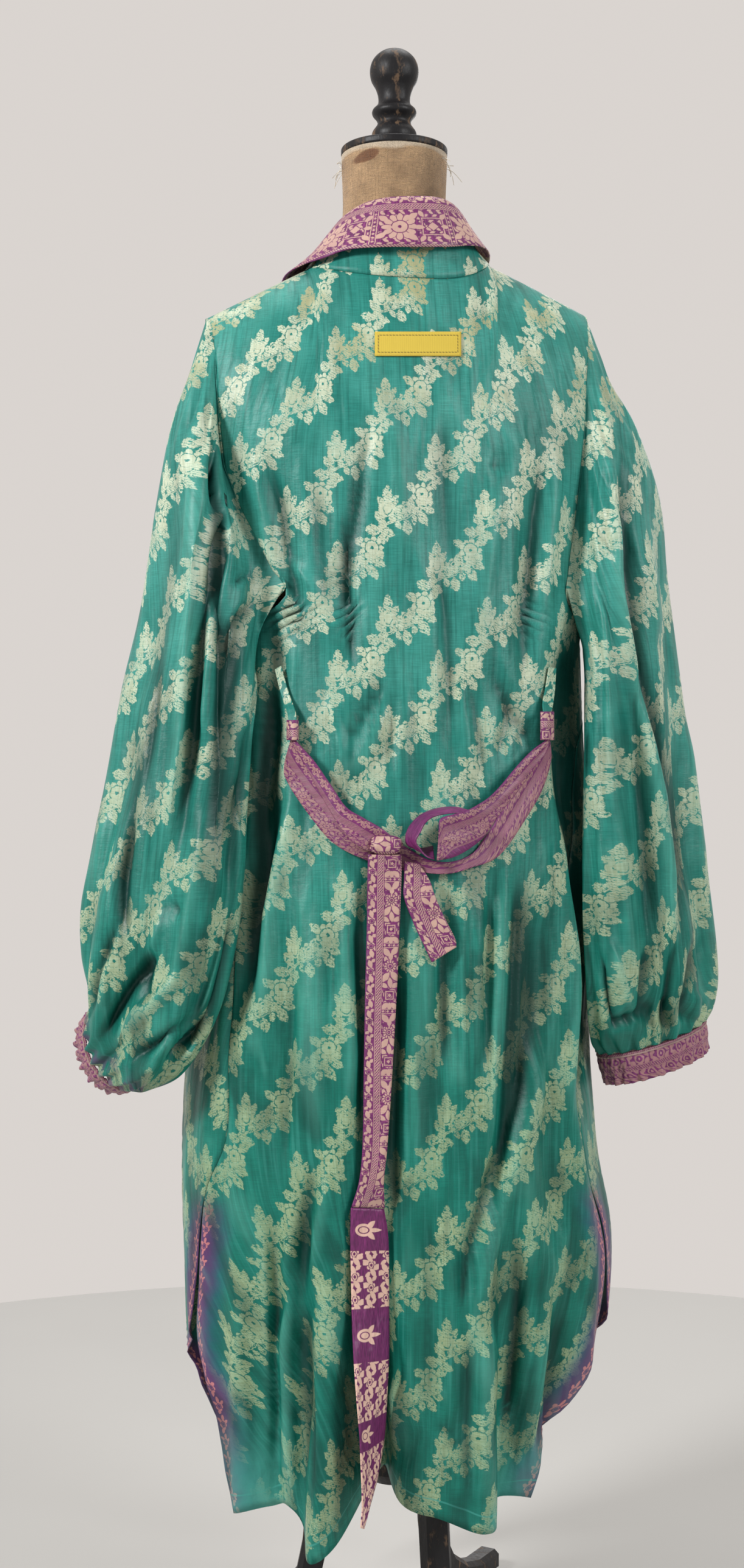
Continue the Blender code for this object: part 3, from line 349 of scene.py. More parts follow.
# Stations from the middle where the leaf starts to lie flat, and over how many.
COLLAR_LEAN = (1.5, 5)
BAND_WIDTH = 0.062
BAND_INNER = 0.016
BAND_SPACE = 0.0044
BAND_FOLD = 0.003
BAND_TURN = 0.004
BAND_POINTS = 6
BAND_FOLD_COLUMN = 2
# The neck band's share of the way down from the fold, where it starts, and its rows.
NECK_BAND_START = 0.08
NECK_BAND_ROWS = 4
# The neck band's middle seam: its rows, how far it lies off, its radius and sides.
SEAM_ROWS = (2, -6)
SEAM_LIFT = 0.0006
SEAM_RADIUS = 0.0005
SEAM_SIDES = 6
# Share of the neck band's lap that it also lies further back.
NECK_LAP_BACK = 0.6
# Mm to the nearest border where there is none.
NO_BORDER = 200.0
# The direction that a cord's sides are turned from.
CORD_GUIDE = (0.3, -0.2, 1.0)

# Places across a belt stretch, and steps from one row of its table to the next.
STRIP_ACROSS = 3
STRIP_STEPS = 2
# The soft folds of a stretch: waves across and down it, and how fast they fade at its ends.
STRIP_WAVES = ((9, 5), (2, 11))
STRIP_FADE = 8
# Belt stretches: column and row of the upper edge, of the lower edge, and how far each lies
# off the body.
GARLAND = (
    (486, 1203, 477, 1203, 0.0135, 0.0135),
    (486, 1217, 477, 1217, 0.0135, 0.0135),
    (494, 1236, 467, 1258, 0.010, 0.0085),
    (516, 1270, 472, 1284, 0.007, 0.006),
    (546, 1306, 506, 1336, 0.007, 0.006),
    (584, 1350, 548, 1385, 0.007, 0.006),
    (622, 1374, 602, 1413, 0.006, 0.006),
    (660, 1388, 652, 1428, 0.005, 0.006),
    (703, 1412, 702, 1434, 0.004, 0.010),
    (742, 1416, 738, 1435, 0.004, 0.014),
    (776, 1402, 774, 1426, 0.004, 0.012),
    (800, 1372, 821, 1405, 0.004, 0.007),
    (830, 1324, 866, 1342, 0.005, 0.006),
    (862, 1272, 892, 1295, 0.005, 0.006),
    (882, 1240, 905, 1250, 0.010, 0.009),
    (895, 1217, 904, 1217, 0.0135, 0.0135),
    (895, 1203, 904, 1203, 0.0135, 0.0135),
)
STRAP_LEFT = (
    (486, 1203, 477, 1203, 0.0185, 0.0185),
    (487, 1217, 478, 1217, 0.0185, 0.0185),
    (516, 1250, 502, 1258, 0.017, 0.0155),
    (544, 1290, 524, 1300, 0.016, 0.014),
    (569, 1326, 548, 1342, 0.017, 0.014),
    (598, 1344, 568, 1370, 0.018, 0.015),
    (612, 1352, 585, 1388, 0.018, 0.015),
    (632, 1364, 610, 1400, 0.0165, 0.0135),
    (646, 1376, 630, 1404, 0.013, 0.011),
)
STRAP_RIGHT = (
    (895, 1203, 904, 1203, 0.0185, 0.0185),
    (895, 1217, 903, 1217, 0.0185, 0.0185),
    (880, 1229, 897, 1236, 0.0185, 0.017),
    (864, 1244, 885, 1254, 0.0185, 0.016),
    (844, 1266, 866, 1280, 0.019, 0.016),
    (822, 1292, 850, 1302, 0.020, 0.016),
    (804, 1310, 832, 1324, 0.022, 0.016),
    (786, 1322, 814, 1348, 0.026, 0.018),
    (766, 1332, 796, 1374, 0.031, 0.022),
    (744, 1338, 772, 1394, 0.036, 0.028),
    (724, 1345, 746, 1408, 0.040, 0.032),
    (722, 1362, 718, 1414, 0.040, 0.034),
)
BOW_LOOP = (
    (770, 1331, 760, 1336, 0.0262, 0.0300),
    (746, 1326, 740, 1336, 0.020, 0.0325),
    (716, 1328, 712, 1342, 0.014, 0.034),
    (692, 1338, 698, 1352, 0.012, 0.036),
    (674, 1357, 690, 1368, 0.011, 0.036),
    (667, 1374, 684, 1382, 0.012, 0.034),
    (670, 1388, 690, 1394, 0.014, 0.032),
    (690, 1394, 702, 1408, 0.014, 0.030),
    (712, 1390, 714, 1412, 0.016, 0.030),
)
SHORT_TAIL = (
    (664, 1414, 690, 1420, 0.0118, 0.0118),
    (664, 1446, 706, 1446, 0.0115, 0.0115),
    (664, 1474, 716, 1474, 0.012, 0.014),
    (678, 1512, 732, 1510, 0.010, 0.011),
    (694, 1548, 748, 1542, 0.010, 0.010),
    (710, 1581, 750, 1556, 0.010, 0.010),
)
TAIL_UPPER = (
    (605, 1404, 660, 1404, 0.017, 0.017),
    (604, 1440, 660, 1440, 0.013, 0.013),
    (603, 1520, 657, 1520, 0.009, 0.009),
    (600, 1637, 652, 1637, 0.009, 0.009),
    (598, 1760, 645, 1760, 0.009, 0.010),
    (596, 1880, 637, 1880, 0.008, 0.014),
    (590, 1940, 631, 1940, 0.008, 0.012),
    (578, 1983, 632, 1985, 0.008, 0.008),
)
TAIL_LOWER = (
    (577, 1984, 631, 1986, 0.008, 0.008),
    (576, 2034, 638, 2036, 0.008, 0.008),
    (579, 2140, 639, 2140, 0.012, 0.012),
    (582, 2230, 640, 2228, 0.030, 0.032),
    (586, 2300, 636, 2300, 0.047, 0.044),
    (592, 2370, 630, 2370, 0.054, 0.050),
    (594, 2430, 620, 2430, 0.060, 0.056),
    (594, 2480, 606, 2480, 0.062, 0.060),
    (593, 2510, 598, 2512, 0.064, 0.063),
)
KNOT_MIDDLE = (634, 1388)
KNOT_HALF = (0.0165, 0.0095, 0.0085)
KNOT_LIFT = 0.0165
# The knot's flatness from above and round it, its latitudes and its places round.
KNOT_POWERS = (0.6, 0.7)
KNOT_LATITUDES = (-82, 82, 29)
KNOT_ROUND = 72
# The knot's wrapped folds: depth, how many go round, and their slant.
KNOT_FOLDS = ((0.05, 5, 3), (0.03, 9, -5))
# The brocade's upper edge, above the knot's middle.
KNOT_PATTERN_TOP = 0.026
# Belt carriers: column and row of the left and right edge, and how far each lies off.
TAB_LEFT = (
    (452, 1100, 462, 1094, 0.0030, 0.0030),
    (462, 1140, 474, 1136, 0.004, 0.004),
    (472, 1170, 486, 1170, 0.011, 0.011),
    (475.5, 1191, 486.5, 1191, 0.016, 0.016),
)
TAB_RIGHT = (
    (902, 1096, 914, 1098, 0.0029, 0.0029),
    (897, 1128, 912, 1130, 0.004, 0.004),
    (892, 1156, 909, 1156, 0.011, 0.011),
    (894.6, 1178, 904.2, 1178, 0.016, 0.016),
)
CARRIER_LEFT = (472, 490, 1183, 1216)
CARRIER_RIGHT = (889, 910, 1169, 1216)
CARRIER_LIFT = 0.016
CARRIER_HALF = 0.0069
CARRIER_ROUND = 48
CARRIER_RINGS = 13
LABEL = (616, 758, 545, 585)
LABEL_LIFT = 0.0019
LABEL_GRID = (37, 15)

# The dress form: height, half width, back depth, front depth.
FORM = (
    (0.800, 0.118, 0.078, 0.078),
    (0.806, 0.132, 0.088, 0.088),
    (0.860, 0.152, 0.104, 0.098),
    (0.930, 0.146, 0.100, 0.092),
    (1.010, 0.122, 0.086, 0.084),
    (1.090, 0.132, 0.092, 0.098),
    (1.180, 0.146, 0.096, 0.108),
    (1.260, 0.154, 0.096, 0.100),
    (1.350, 0.166, 0.090, 0.082),
    (1.410, 0.160, 0.078, 0.068),
    (1.444, 0.130, 0.064, 0.056),
    (1.464, 0.090, 0.058, 0.055),
    (1.487, 0.064, 0.056, 0.055),
    (1.515, 0.0575, 0.0565, 0.0565),
    (1.596, 0.0570, 0.0570, 0.0570),
)
FORM_ROUND = 96
# Rings of the form: evenly from its foot to its top, and some more at its edges.
FORM_RINGS = (0.8, 1.596, 90)
FORM_EDGES = (0.802, 0.806, 1.594)
TURNED_ROUND = 72
FINIAL_RINGS = 90
FINIAL_TIP = 0.0002
CAP_STEPS = 5
# Loose linen threads: middle angle and number of each tuft, and its spread in degrees.
TUFTS = ((-112, 9), (68, 7))
TUFT_SPREAD = 22
# Where they start: radius, height, and how far below that at most.
THREAD_ROOT = (0.0572, 1.592, 0.012)
THREAD_CURL = (0.006, 0.006, 0.008)
THREAD_SIZE = (0.005, 0.013)
THREAD_STEPS = 7
THREAD_RADIUS = 0.00035
THREAD_SIDES = 5
CAP_RADIUS = 0.0575
CAP_HEIGHT = 0.008
CAP_EDGE = 0.002
# Finial: radius and height over the cap.
FINIAL = (
    (0.0000, 0.1080),
    (0.0125, 0.1052),
    (0.0222, 0.0970),
    (0.0262, 0.0860),
    (0.0250, 0.0745),
    (0.0200, 0.0650),
    (0.0174, 0.0560),
    (0.0178, 0.0480),
    (0.0232, 0.0420),
    (0.0236, 0.0370),
    (0.0190, 0.0310),
    (0.0184, 0.0260),
    (0.0236, 0.0180),
    (0.0242, 0.0110),
    (0.0215, 0.0040),
    (0.0240, 0.0000),
)
# The green cloth's half-drop repeat, in mm: width and height of one tile, then its motifs from
# the tile's middle: x, y, turn in degrees, half length, half width.
REPEAT = (104, 56)
ROSE_LEAVES = (
    (-36.2, -1.5, 90, 10.5, 5.0),
    (-40.9, -10.5, 122, 9.0, 4.2),
    (-30.5, -10.0, 58, 9.4, 4.2),
    (-36.2, -8.0, 0, 8.2, 4.6),
    (-6.0, -17.0, 205, 6.5, 4.4),
    (-1.5, -21.5, -60, 6.5, 4.0),
    (7.0, -15.5, -25, 7.5, 4.4),
    (1.9, 17.8, 178, 8.0, 5.4),
    (11.5, 9.5, 40, 7.5, 5.0),
    (-12.0, 6.5, 140, 6.5, 4.4),
    (-24.0, -17.5, 190, 6.0, 4.6),
    (-13.0, -8.0, 70, 5.0, 3.4),
    (3.5, -12.0, -40, 6.5, 4.8),
    (-43.5, -22.5, 215, 6.0, 4.0),
)
BUD = (-36.5, -16.3, 0, 8.6, 8.0)
BUD_DROP = (-36.0, -16.0, 0, 4.2, 6.0)
STEM_LEAVES = (
    (-17.3, 3.0, 130, 8.0, 5.0),
    (-25.5, -8.2, 176, 7.5, 4.2),
    (-10.5, -12.5, -20, 8.5, 4.8),
    (0.7, -5.4, -60, 5.0, 3.0),
    (9.5, -7.4, -78, 8.2, 5.0),
    (13.5, 16.5, 75, 8.0, 4.6),
    (26.6, 3.2, -55, 9.5, 5.0),
    (17.0, 1.0, -90, 5.5, 3.4),
    (22.0, 12.4, 30, 6.0, 3.4),
    (2.0, 7.0, 105, 7.4, 4.8),
    (33.0, 20.0, 60, 7.0, 5.0),
    (9.5, 9.0, 60, 6.0, 4.2),
    (-5.0, 1.5, 95, 5.0, 3.6),
    (-15.0, -5.0, 200, 6.0, 4.0),
    (24.5, 19.0, 100, 6.5, 4.4),
)
# The noise that makes the flowers uneven, its roughness, and how far it moves them.
FLOWER_NOISE = 0.30
FLOWER_ROUGH = 0.7
FLOWER_SHAKE = 5.0
# Flowers: radius, depth of the waves, number of petals and radius of the inner ring.
BIG_ROSE = (9.4, 2.6, 9, 7.2)
SMALL_ROSE = (4.8, 1.5, 6, 3.4)
SMALL_ROSE_BEFORE = (17.9, 14.5)
# Half widths of the lines between petals and of the ring, the eye's radius, and how fast the
# lines between petals end inside the ring.
PETAL_GAP = 0.35
RING_LINE = 0.45
ROSE_EYE = 1.6
RING_STEEP = 9.0
# How fast a leaf's inside value grows from its outline, as a share of its half width.
LEAF_STEEP = 0.8
# The stem's tile, its slope and bend, half its width, half a line's width, and its two ends.
STEM_MIDDLE = (26, 28)
STEM_LINE = (0.25, 0.0009)
STEM_HALF = 0.95
STEM_THREAD = 0.5
STEM_ENDS = (19.0, 31.0)
# The leaves' veins: slant, period and half width, how sharp they are, and how much noise
# breaks the leaves.
VEINS = (0.5, 2.6, 0.34)
VEIN_EDGE = (1.4, 0.25)
LEAF_BREAKS = (14.0, 5.5)
# Where the photograph shows the middle of one rose of the back.
ROSE_SEEN = (693, 812)
# The purple bands' repeats along them, and their leaves.
FLORAL_PERIOD = 25
FLORAL_LEAVES = (
    (7.4, 0.6, 20, 4.4, 2.4),
    (-7.4, -0.6, 200, 4.4, 2.4),
    (11.5, -2.6, -50, 3.2, 1.8),
    (-11.0, 2.8, 130, 3.2, 1.8),
    (3.0, 4.2, 60, 2.6, 1.5),
    (-3.4, -4.2, 240, 2.6, 1.5),
)
PANEL_PERIOD = 66
PANEL_LEAVES = (
    (-27, 6.5, 140, 5.5, 3.0),
    (-26, -6.5, 220, 5.5, 3.0),
    (-2.0, 7.5, 40, 6.5, 3.2),
    (-1.0, -7.5, -40, 6.5, 3.2),
    (4.5, 0.5, 5, 5.5, 2.6),
    (-21.5, 0.5, 180, 4.0, 2.4),
    (7.0, 9.0, 120, 4.5, 2.4),
    (7.0, -9.5, 240, 4.5, 2.4),
    (27.5, 7.5, 50, 4.5, 2.6),
    (27.5, -7.5, -50, 4.5, 2.6),
    (28.0, 0.0, 0, 3.8, 2.4),
)
# The small flower's radius, wave, petals and ring, as shares of the floral band, and the
# band's margin.
FLORAL_ROSE = (0.32, 0.09, 5, 0.24)
FLORAL_MARGIN = 0.8
# The rope line: slant, period and half width of its hatching, its margin, and its two rails.
ROPE_HATCH = (1.3, 2.9, 0.75)
ROPE_MARGIN = 1.1
RAIL_HALF = 0.35
RAIL_IN = 0.4
# The wide panel: the width that it was charted at, its large flower, a square frame with a
# diamond in it, pairs of bars with gems between them, and its margin.
PANEL_CHARTED = 26
PANEL_ROSE = (7.6, 2.4, 12, 4.6)
PANEL_ROSE_BEFORE = 12
FRAME_AFTER = 17
FRAME_HALF = 6.2
FRAME_LINE = 0.55
DIAMOND_HALF = 3.2
BAR_APART = 2.2
BAR_LINE = 0.45
GEM_HALF = 1.5
GEM_PERIOD = 4.6
PANEL_MARGIN = 0.6
# Small leaves fill the panel's ground, this far from the other motifs.
FILLER_TILE = ((3, 2), (8.8, 6.4))
FILLER_LEAVES = ((0.6, 1.3, 35, 2.9, 1.5), (-0.6, -1.6, 160, 2.9, 1.5))
FILLER_APART = 0.9
# The hatched edge beyond the panel: half width, period, start and end.
EDGE_HATCH = (0.8, 2.6, 0.5, 3.4)
# The noise that makes the brocades uneven, and how far it moves them along and across.
BROCADE_NOISE = 0.3
BAND_SHAKE = (1.2, 1.0)
CUFF_SHAKE = (1.6, 1.2)
TAIL_SHAKE = 1.4
# The cuffs: their tile, a ring with a round middle, the hatched band's lines, its place, half
# height, rails and their half width, and the hatched upper edge with the start of the motifs.
CUFF_TILE = ((0, 9), (27, 17.5))
CUFF_RING = (4.4, 1.1, 1.4)
CUFF_HATCH = (0.75, 1.3, 2.8)
CUFF_BAND = (18.0, 2.4, 3.0, 0.5)
CUFF_EDGE = (0.85, 2.6, 3.0, 3.4)
CUFF_LEAVES = (
    (-8, 4, 50, 5.5, 3.0),
    (8, 5, 130, 5.5, 3.0),
    (-9, -5, -60, 5.0, 2.8),
    (9, -5, 240, 5.0, 2.8),
    (0, 6.5, 0, 4.5, 2.2),
    (12.5, 0, 90, 4.0, 2.2),
)

# Creases that the photograph shows, as columns and rows of it: how far out in mm, half width
# in columns, 1 for a ridge on the left with its trough on the right and 0 for one line, line.
BACK_CREASES = (
    (-3.5, 12, 0, ((626, 605), (567, 952), (581, 1128))),
    (-3.0, 9, 0, ((567, 813), (567, 973), (583, 1133))),
    (2.0, 14, 0, ((623, 621), (605, 813))),
    (4.0, 14, 1, ((423, 728), (450, 845), (471, 973), (487, 1107))),
    (4.0, 14, -1, ((909, 717), (893, 845), (882, 963), (866, 1133))),
    (3.0, 16, 0, ((829, 739), (802, 920), (786, 1128))),
    (2.0, 8, 0, ((434, 670), (480, 700), (530, 717))),
    (2.0, 8, 0, ((470, 915), (500, 948), (525, 970))),
    (-2.2, 9, 0, ((799, 773), (825, 760), (847, 749))),
    (2.6, 16, 1, ((700, 880), (720, 1000), (728, 1120), (735, 1240))),
    (2.2, 14, -1, ((660, 1120), (655, 1200), (650, 1290))),
    (2.4, 12, 1, ((760, 1100), (775, 1200), (790, 1290))),
    (2.2, 10, 0, ((540, 1130), (556, 1210), (575, 1290))),
    (-2.0, 9, 0, ((840, 1130), (832, 1190), (815, 1260))),
    (5.0, 16, -1, ((466, 1253), (471, 1307), (429, 1499), (423, 1605), (402, 1712))),
    (3.0, 10, 0, ((423, 1280), (397, 1499), (370, 1680), (359, 1893))),
    (4.0, 15, 1, ((589, 1424), (578, 1541), (589, 1733), (583, 1893))),
    (-5.0, 14, 0, ((663, 1547), (653, 1680), (642, 1893), (650, 2050))),
    (5.0, 15, 1, ((842, 1381), (837, 1520), (829, 1659), (818, 1813), (813, 1947))),
    (2.2, 8, 0, ((763, 1440), (758, 1560), (760, 1700), (752, 1860))),
    (2.2, 8, 0, ((790, 1420), (785, 1560), (780, 1700), (776, 1820))),
    (-2.2, 8, 0, ((812, 1420), (806, 1540), (800, 1700))),
    (2.0, 9, 0, ((715, 1480), (708, 1620), (705, 1780))),
    (3.6, 12, 1, ((938, 1333), (949, 1499), (954, 1627), (941, 1893))),
    (2.4, 11, 0, ((890, 1330), (898, 1480), (895, 1640), (885, 1820))),
    (2.0, 9, 0, ((503, 1360), (514, 1382), (525, 1403))),
    (3.0, 14, 0, ((530, 1420), (524, 1560), (520, 1760), (528, 1960))),
    (-2.4, 10, 0, ((495, 1480), (484, 1640), (470, 1820), (462, 1990))),
    (5.0, 15, 1, ((482, 1960), (490, 2060), (482, 2210), (490, 2350), (497, 2550))),
    (2.6, 10, 0, ((397, 2090), (393, 2170), (390, 2240), (410, 2400))),
    (-3.0, 12, 0, ((570, 2220), (580, 2350), (577, 2430))),
    (4.0, 16, -1, ((790, 2150), (780, 2350), (785, 2520))),
    (3.4, 13, 1, ((910, 2120), (890, 2300), (870, 2420))),
    (2.8, 11, 0, ((925, 2000), (918, 2060), (910, 2120))),
    (-2.4, 10, 0, ((720, 2330), (738, 2360), (755, 2390))),
    (3.0, 12, 0, ((650, 2250), (655, 2330), (660, 2400))),
    (-2.4, 14, 0, ((700, 1960), (705, 2150), (700, 2380))),
    (2.4, 12, 0, ((740, 1980), (745, 2160), (735, 2360))),
    (2.6, 12, 1, ((440, 1960), (445, 2120), (450, 2300), (448, 2440))),
    (-2.2, 11, 0, ((850, 1960), (846, 2120), (835, 2300), (830, 2430))),
    (-4.5, 15, 0, ((456, 1080), (450, 1200), (436, 1330), (420, 1480), (400, 1620))),
    (-5.0, 26, 0, ((945, 1000), (935, 1120), (938, 1260), (952, 1400))),
    (-3.5, 16, 0, ((440, 900), (452, 1020), (462, 1150))),
    (-5.0, 12, 0, ((446, 1080), (440, 1180), (426, 1300), (412, 1420))),
    (3.4, 13, 0, ((560, 1290), (600, 1240), (640, 1150))),
    (-3.0, 12, 0, ((545, 1225), (590, 1190), (640, 1100))),
    (-3.0, 12, 0, ((890, 1240), (850, 1180), (800, 1090))),
    (-4.0, 13, 0, ((610, 1430), (640, 1600), (610, 1800), (600, 2000))),
    (-3.6, 13, 0, ((735, 1430), (728, 1600), (732, 1800))),
    (-3.4, 14, 0, ((900, 1450), (880, 1640), (905, 1840))),
    (3.6, 14, 0, ((930, 1560), (880, 1800), (800, 2060), (770, 2260))),
    (-3.6, 13, 0, ((900, 1560), (850, 1800), (770, 2060), (740, 2260))),
    (3.0, 12, 0, ((545, 1900), (520, 2060), (470, 2250))),
    (-3.2, 12, 0, ((520, 1880), (495, 2040), (445, 2230))),
    (-3.0, 12, 0, ((860, 2060), (850, 2200), (820, 2380))),
    (-4.5, 15, 0, ((926, 1090), (932, 1250), (946, 1400), (950, 1580))),
    (3.2, 20, 0, ((500, 1330), (497, 1500), (505, 1700), (500, 1900))),
    (2.8, 20, 0, ((700, 1440), (690, 1600), (684, 1800), (690, 2000))),
    (-3.2, 16, 0, ((868, 1390), (868, 1560), (862, 1740), (856, 1900))),
    (3.0, 18, 0, ((640, 640), (660, 800), (668, 960))),
    (-2.4, 16, 0, ((730, 640), (735, 800), (745, 980))),
    (-2.4, 14, 0, ((520, 760), (530, 900), (545, 1040))),
)
LEFT_CREASES = (
    (2.0, 10, 0, ((321, 595), (307, 730), (286, 893), (265, 1080), (260, 1220))),
    (5.5, 13, 1, ((353, 660), (344, 809), (330, 968), (316, 1057), (305, 1200), (291, 1310), (287, 1457))),
    (4.0, 10, 1, ((353, 940), (353, 1080), (346, 1180), (347, 1258))),
    (-5.0, 24, 0, ((392, 960), (385, 1080), (372, 1200), (358, 1330), (352, 1450))),
    (-4.0, 13, 0, ((300, 700), (285, 900), (262, 1080), (240, 1260), (226, 1400))),
    (-3.4, 12, 0, ((350, 690), (352, 800), (372, 900))),
    (-5.0, 12, 0, ((362, 640), (368, 760), (364, 880), (354, 1000), (346, 1110))),
    (3.0, 12, 0, ((322, 700), (316, 840), (300, 1000))),
    (-3.0, 11, 0, ((215, 1330), (200, 1440), (205, 1560))),
    (-5.0, 9, 0, ((160, 1722), (185, 1680), (215, 1625), (262, 1560))),
    (4.0, 9, 0, ((178, 1735), (215, 1690), (262, 1640), (310, 1590))),
    (-5.0, 9, 0, ((196, 1748), (245, 1722), (300, 1688), (352, 1640))),
    (4.0, 9, 0, ((214, 1762), (265, 1750), (318, 1722), (364, 1690))),
    (-4.0, 8, 0, ((142, 1690), (150, 1640), (168, 1580), (196, 1500))),
    (-3.4, 5, 0, ((352, 800), (376, 786), (402, 780))),
    (3.0, 5, 0, ((352, 816), (378, 802), (406, 798))),
    (-3.4, 5, 0, ((358, 866), (384, 850), (414, 852))),
    (3.0, 5, 0, ((360, 884), (390, 868), (420, 872))),
    (-3.4, 5, 0, ((380, 958), (408, 946), (440, 950))),
    (3.0, 5, 0, ((384, 974), (412, 962), (446, 968))),
    (-5.0, 14, 0, ((436, 1060), (428, 1150), (414, 1260), (398, 1380))),
    (3.4, 12, 0, ((437, 1024), (423, 1103), (405, 1220))),
    (-3.0, 9, 0, ((270, 1482), (285, 1490), (302, 1500))),
    (2.8, 9, 0, ((267, 1500), (250, 1570))),
    (-3.0, 8, 0, ((250, 1552), (241, 1596), (237, 1656))),
    (4.5, 11, 1, ((380, 1457), (362, 1570), (336, 1665), (237, 1778))),
    (-3.0, 8, 0, ((354, 1669), (293, 1721), (246, 1773))),
    (3.0, 8, 0, ((246, 1639), (198, 1691), (189, 1717))),
    (2.6, 8, 0, ((176, 1570), (168, 1613), (170, 1660))),
    (-3.0, 9, 0, ((454, 1001), (419, 991), (381, 1033), (363, 1094))),
    (-2.6, 8, 0, ((386, 884), (363, 940), (353, 987))),
    (-3.0, 12, 0, ((235, 1150), (215, 1300), (205, 1440), (200, 1560))),
    (3.0, 12, 0, ((345, 1290), (325, 1420), (300, 1560), (262, 1680))),
    (2.4, 10, 0, ((180, 1300), (165, 1420), (160, 1520))),
    (-2.4, 9, 0, ((400, 1260), (385, 1380), (372, 1480))),
)
RIGHT_CREASES = (
    (5.5, 13, 1, ((1006, 639), (1011, 717), (1017, 847), (1026, 977), (1039, 1063), (1052, 1130),
                  (1076, 1218), (1094, 1306), (1111, 1438), (1116, 1570), (1120, 1658))),
    (2.6, 9, 0, ((1063, 903), (1078, 1020), (1082, 1063))),
    (2.6, 9, 0, ((1120, 1156), (1146, 1376), (1160, 1482))),
    (3.4, 9, 1, ((979, 1588), (988, 1627), (992, 1680))),
    (-3.4, 9, 0, ((1067, 1658), (1030, 1674), (992, 1695))),
    (3.2, 12, 0, ((985, 900), (990, 1080), (1000, 1260), (1010, 1420))),
    (-3.0, 11, 0, ((1040, 1180), (1056, 1340), (1064, 1480), (1072, 1600))),
    (2.6, 10, 0, ((1010, 1300), (1022, 1440), (1034, 1560), (1046, 1640))),
    (2.2, 10, 0, ((965, 1120), (972, 1280), (974, 1440))),
)
CUFF_PLEATS = (
    (-4.0, 7, 0, ((985, 1560), (1000, 1640), (1018, 1700))),
    (4.0, 8, 0, ((1000, 1540), (1022, 1620), (1044, 1690))),
    (-4.0, 8, 0, ((1066, 1540), (1060, 1620), (1056, 1695))),
    (-4.0, 8, 0, ((1112, 1530), (1100, 1610), (1086, 1695))),
    (-3.6, 8, 0, ((1150, 1530), (1136, 1610), (1118, 1690))),
    (-2.4, 6, 0, ((1032, 1636), (1036, 1697))),
    (-2.4, 6, 0, ((1067, 1640), (1069, 1697))),
    (-2.4, 6, 0, ((1094, 1636), (1092, 1697))),
    (2.4, 6, 0, ((1107, 1636), (1104, 1690))),
    (-2.4, 6, 0, ((1129, 1630), (1124, 1685))),
    (2.4, 6, 0, ((1146, 1626), (1140, 1680))),
)
# Width of the fronts that lies flat under the collar band, and over which creases begin, in mm.
FLAT_UNDER_BAND = (64, 20)
# Soft creases of hidden sides, after those that show: angle round the body, half width in
# degrees, height of the middle, half length, how far out in mm.
HIDDEN_CREASES = (
    (96, 3.0, 0.62, 0.30, 2.6),
    (104, 3.5, 0.80, 0.32, -2.4),
    (112, 2.6, 0.45, 0.26, 2.4),
    (124, 3.0, 1.02, 0.22, 3.0),
    (131, 3.0, 0.62, 0.30, -2.4),
    (146, 3.2, 0.42, 0.24, 2.6),
    (152, 2.6, 0.92, 0.30, 2.6),
    (162, 3.0, 0.66, 0.34, -2.2),
    (-97, 3.2, 0.60, 0.30, 2.6),
    (-106, 3.0, 0.84, 0.30, -2.6),
    (-115, 2.8, 0.46, 0.26, 2.6),
    (-126, 3.2, 1.00, 0.24, 3.0),
    (-135, 2.8, 0.64, 0.30, -2.4),
    (-147, 3.0, 0.40, 0.24, 2.4),
    (-156, 3.0, 0.90, 0.32, 2.4),
    (-165, 2.6, 0.60, 0.30, -2.2),
)
# The same for a sleeve's hidden sides: angle round it, half width, share of the length at the
# middle, half length, how far out in mm.
SLEEVE_HIDDEN = (
    (200, 9, 0.35, 0.25, 3.0),
    (225, 7, 0.60, 0.30, -3.0),
    (245, 8, 0.30, 0.22, 3.4),
    (270, 8, 0.65, 0.28, 3.2),
    (295, 7, 0.40, 0.30, -3.0),
    (320, 8, 0.70, 0.25, 3.0),
    (345, 7, 0.45, 0.28, -2.4),
)

PHOTO_HEIGHT = 2576
# The label's half length and half width in mm, from whose edge its stitches are set in.
LABEL_HALF = (45.5, 12.6)
# How far off the body's cloth a sleeve laps at its seam, and where each sleeve shows a rose.
ARMHOLE_LAP = 0.0009
# The sleeve laps further over the front at the underarm: place round the armhole, how many
# places on each side, and how far.
FRONT_LAP = (23.5, 3.0, 0.009)
SLEEVE_ROSES = {-1: (309, 760), 1: (1046, 797)}
# How much deeper all creases are made than their tables say, the share of their length that
# they fade over at each end, and how far a ridge and its trough lie from the middle.
CREASE_SCALE = 2.2
CREASE_END = 0.3
RIDGE_STEP = 0.7
NECK_V = 1500.0
NECK_LAP = 0.0026
# The long tail's lower part: its dense flowers (middle and half length in mm from the seam),
# and the single flowers between them.
TAIL_CLUSTERS = ((72, 29), (182, 29), (295, 54))
TAIL_BUTIS = (22, 127, 226)
TAIL_MIDDLE = 18
TAIL_TILE = ((0, 4), (23, 20))
# A single flower: its oval, the ring line in it with its half width, and its three leaves.
BUTI = (0, -3, 90, 10, 6.5)
BUTI_RING = (0, -3, 90, 6, 3.4)
BUTI_LINE = 0.4
BUTI_LEAVES = ((0, 9, 90, 10, 2.2), (5, 5, 50, 7, 3.0), (-5, 5, 130, 7, 3.0))
TAIL_LEAVES = (
    (7.8, 2.6, 40, 6.4, 3.0),
    (-7.8, -2.4, 220, 6.4, 3.0),
    (2.4, 7.8, 110, 6.0, 3.0),
    (-2.8, -7.8, 280, 6.0, 3.0),
    (9.5, -4.5, -50, 4.6, 2.4),
    (-9.5, 4.5, 130, 4.6, 2.4),
)
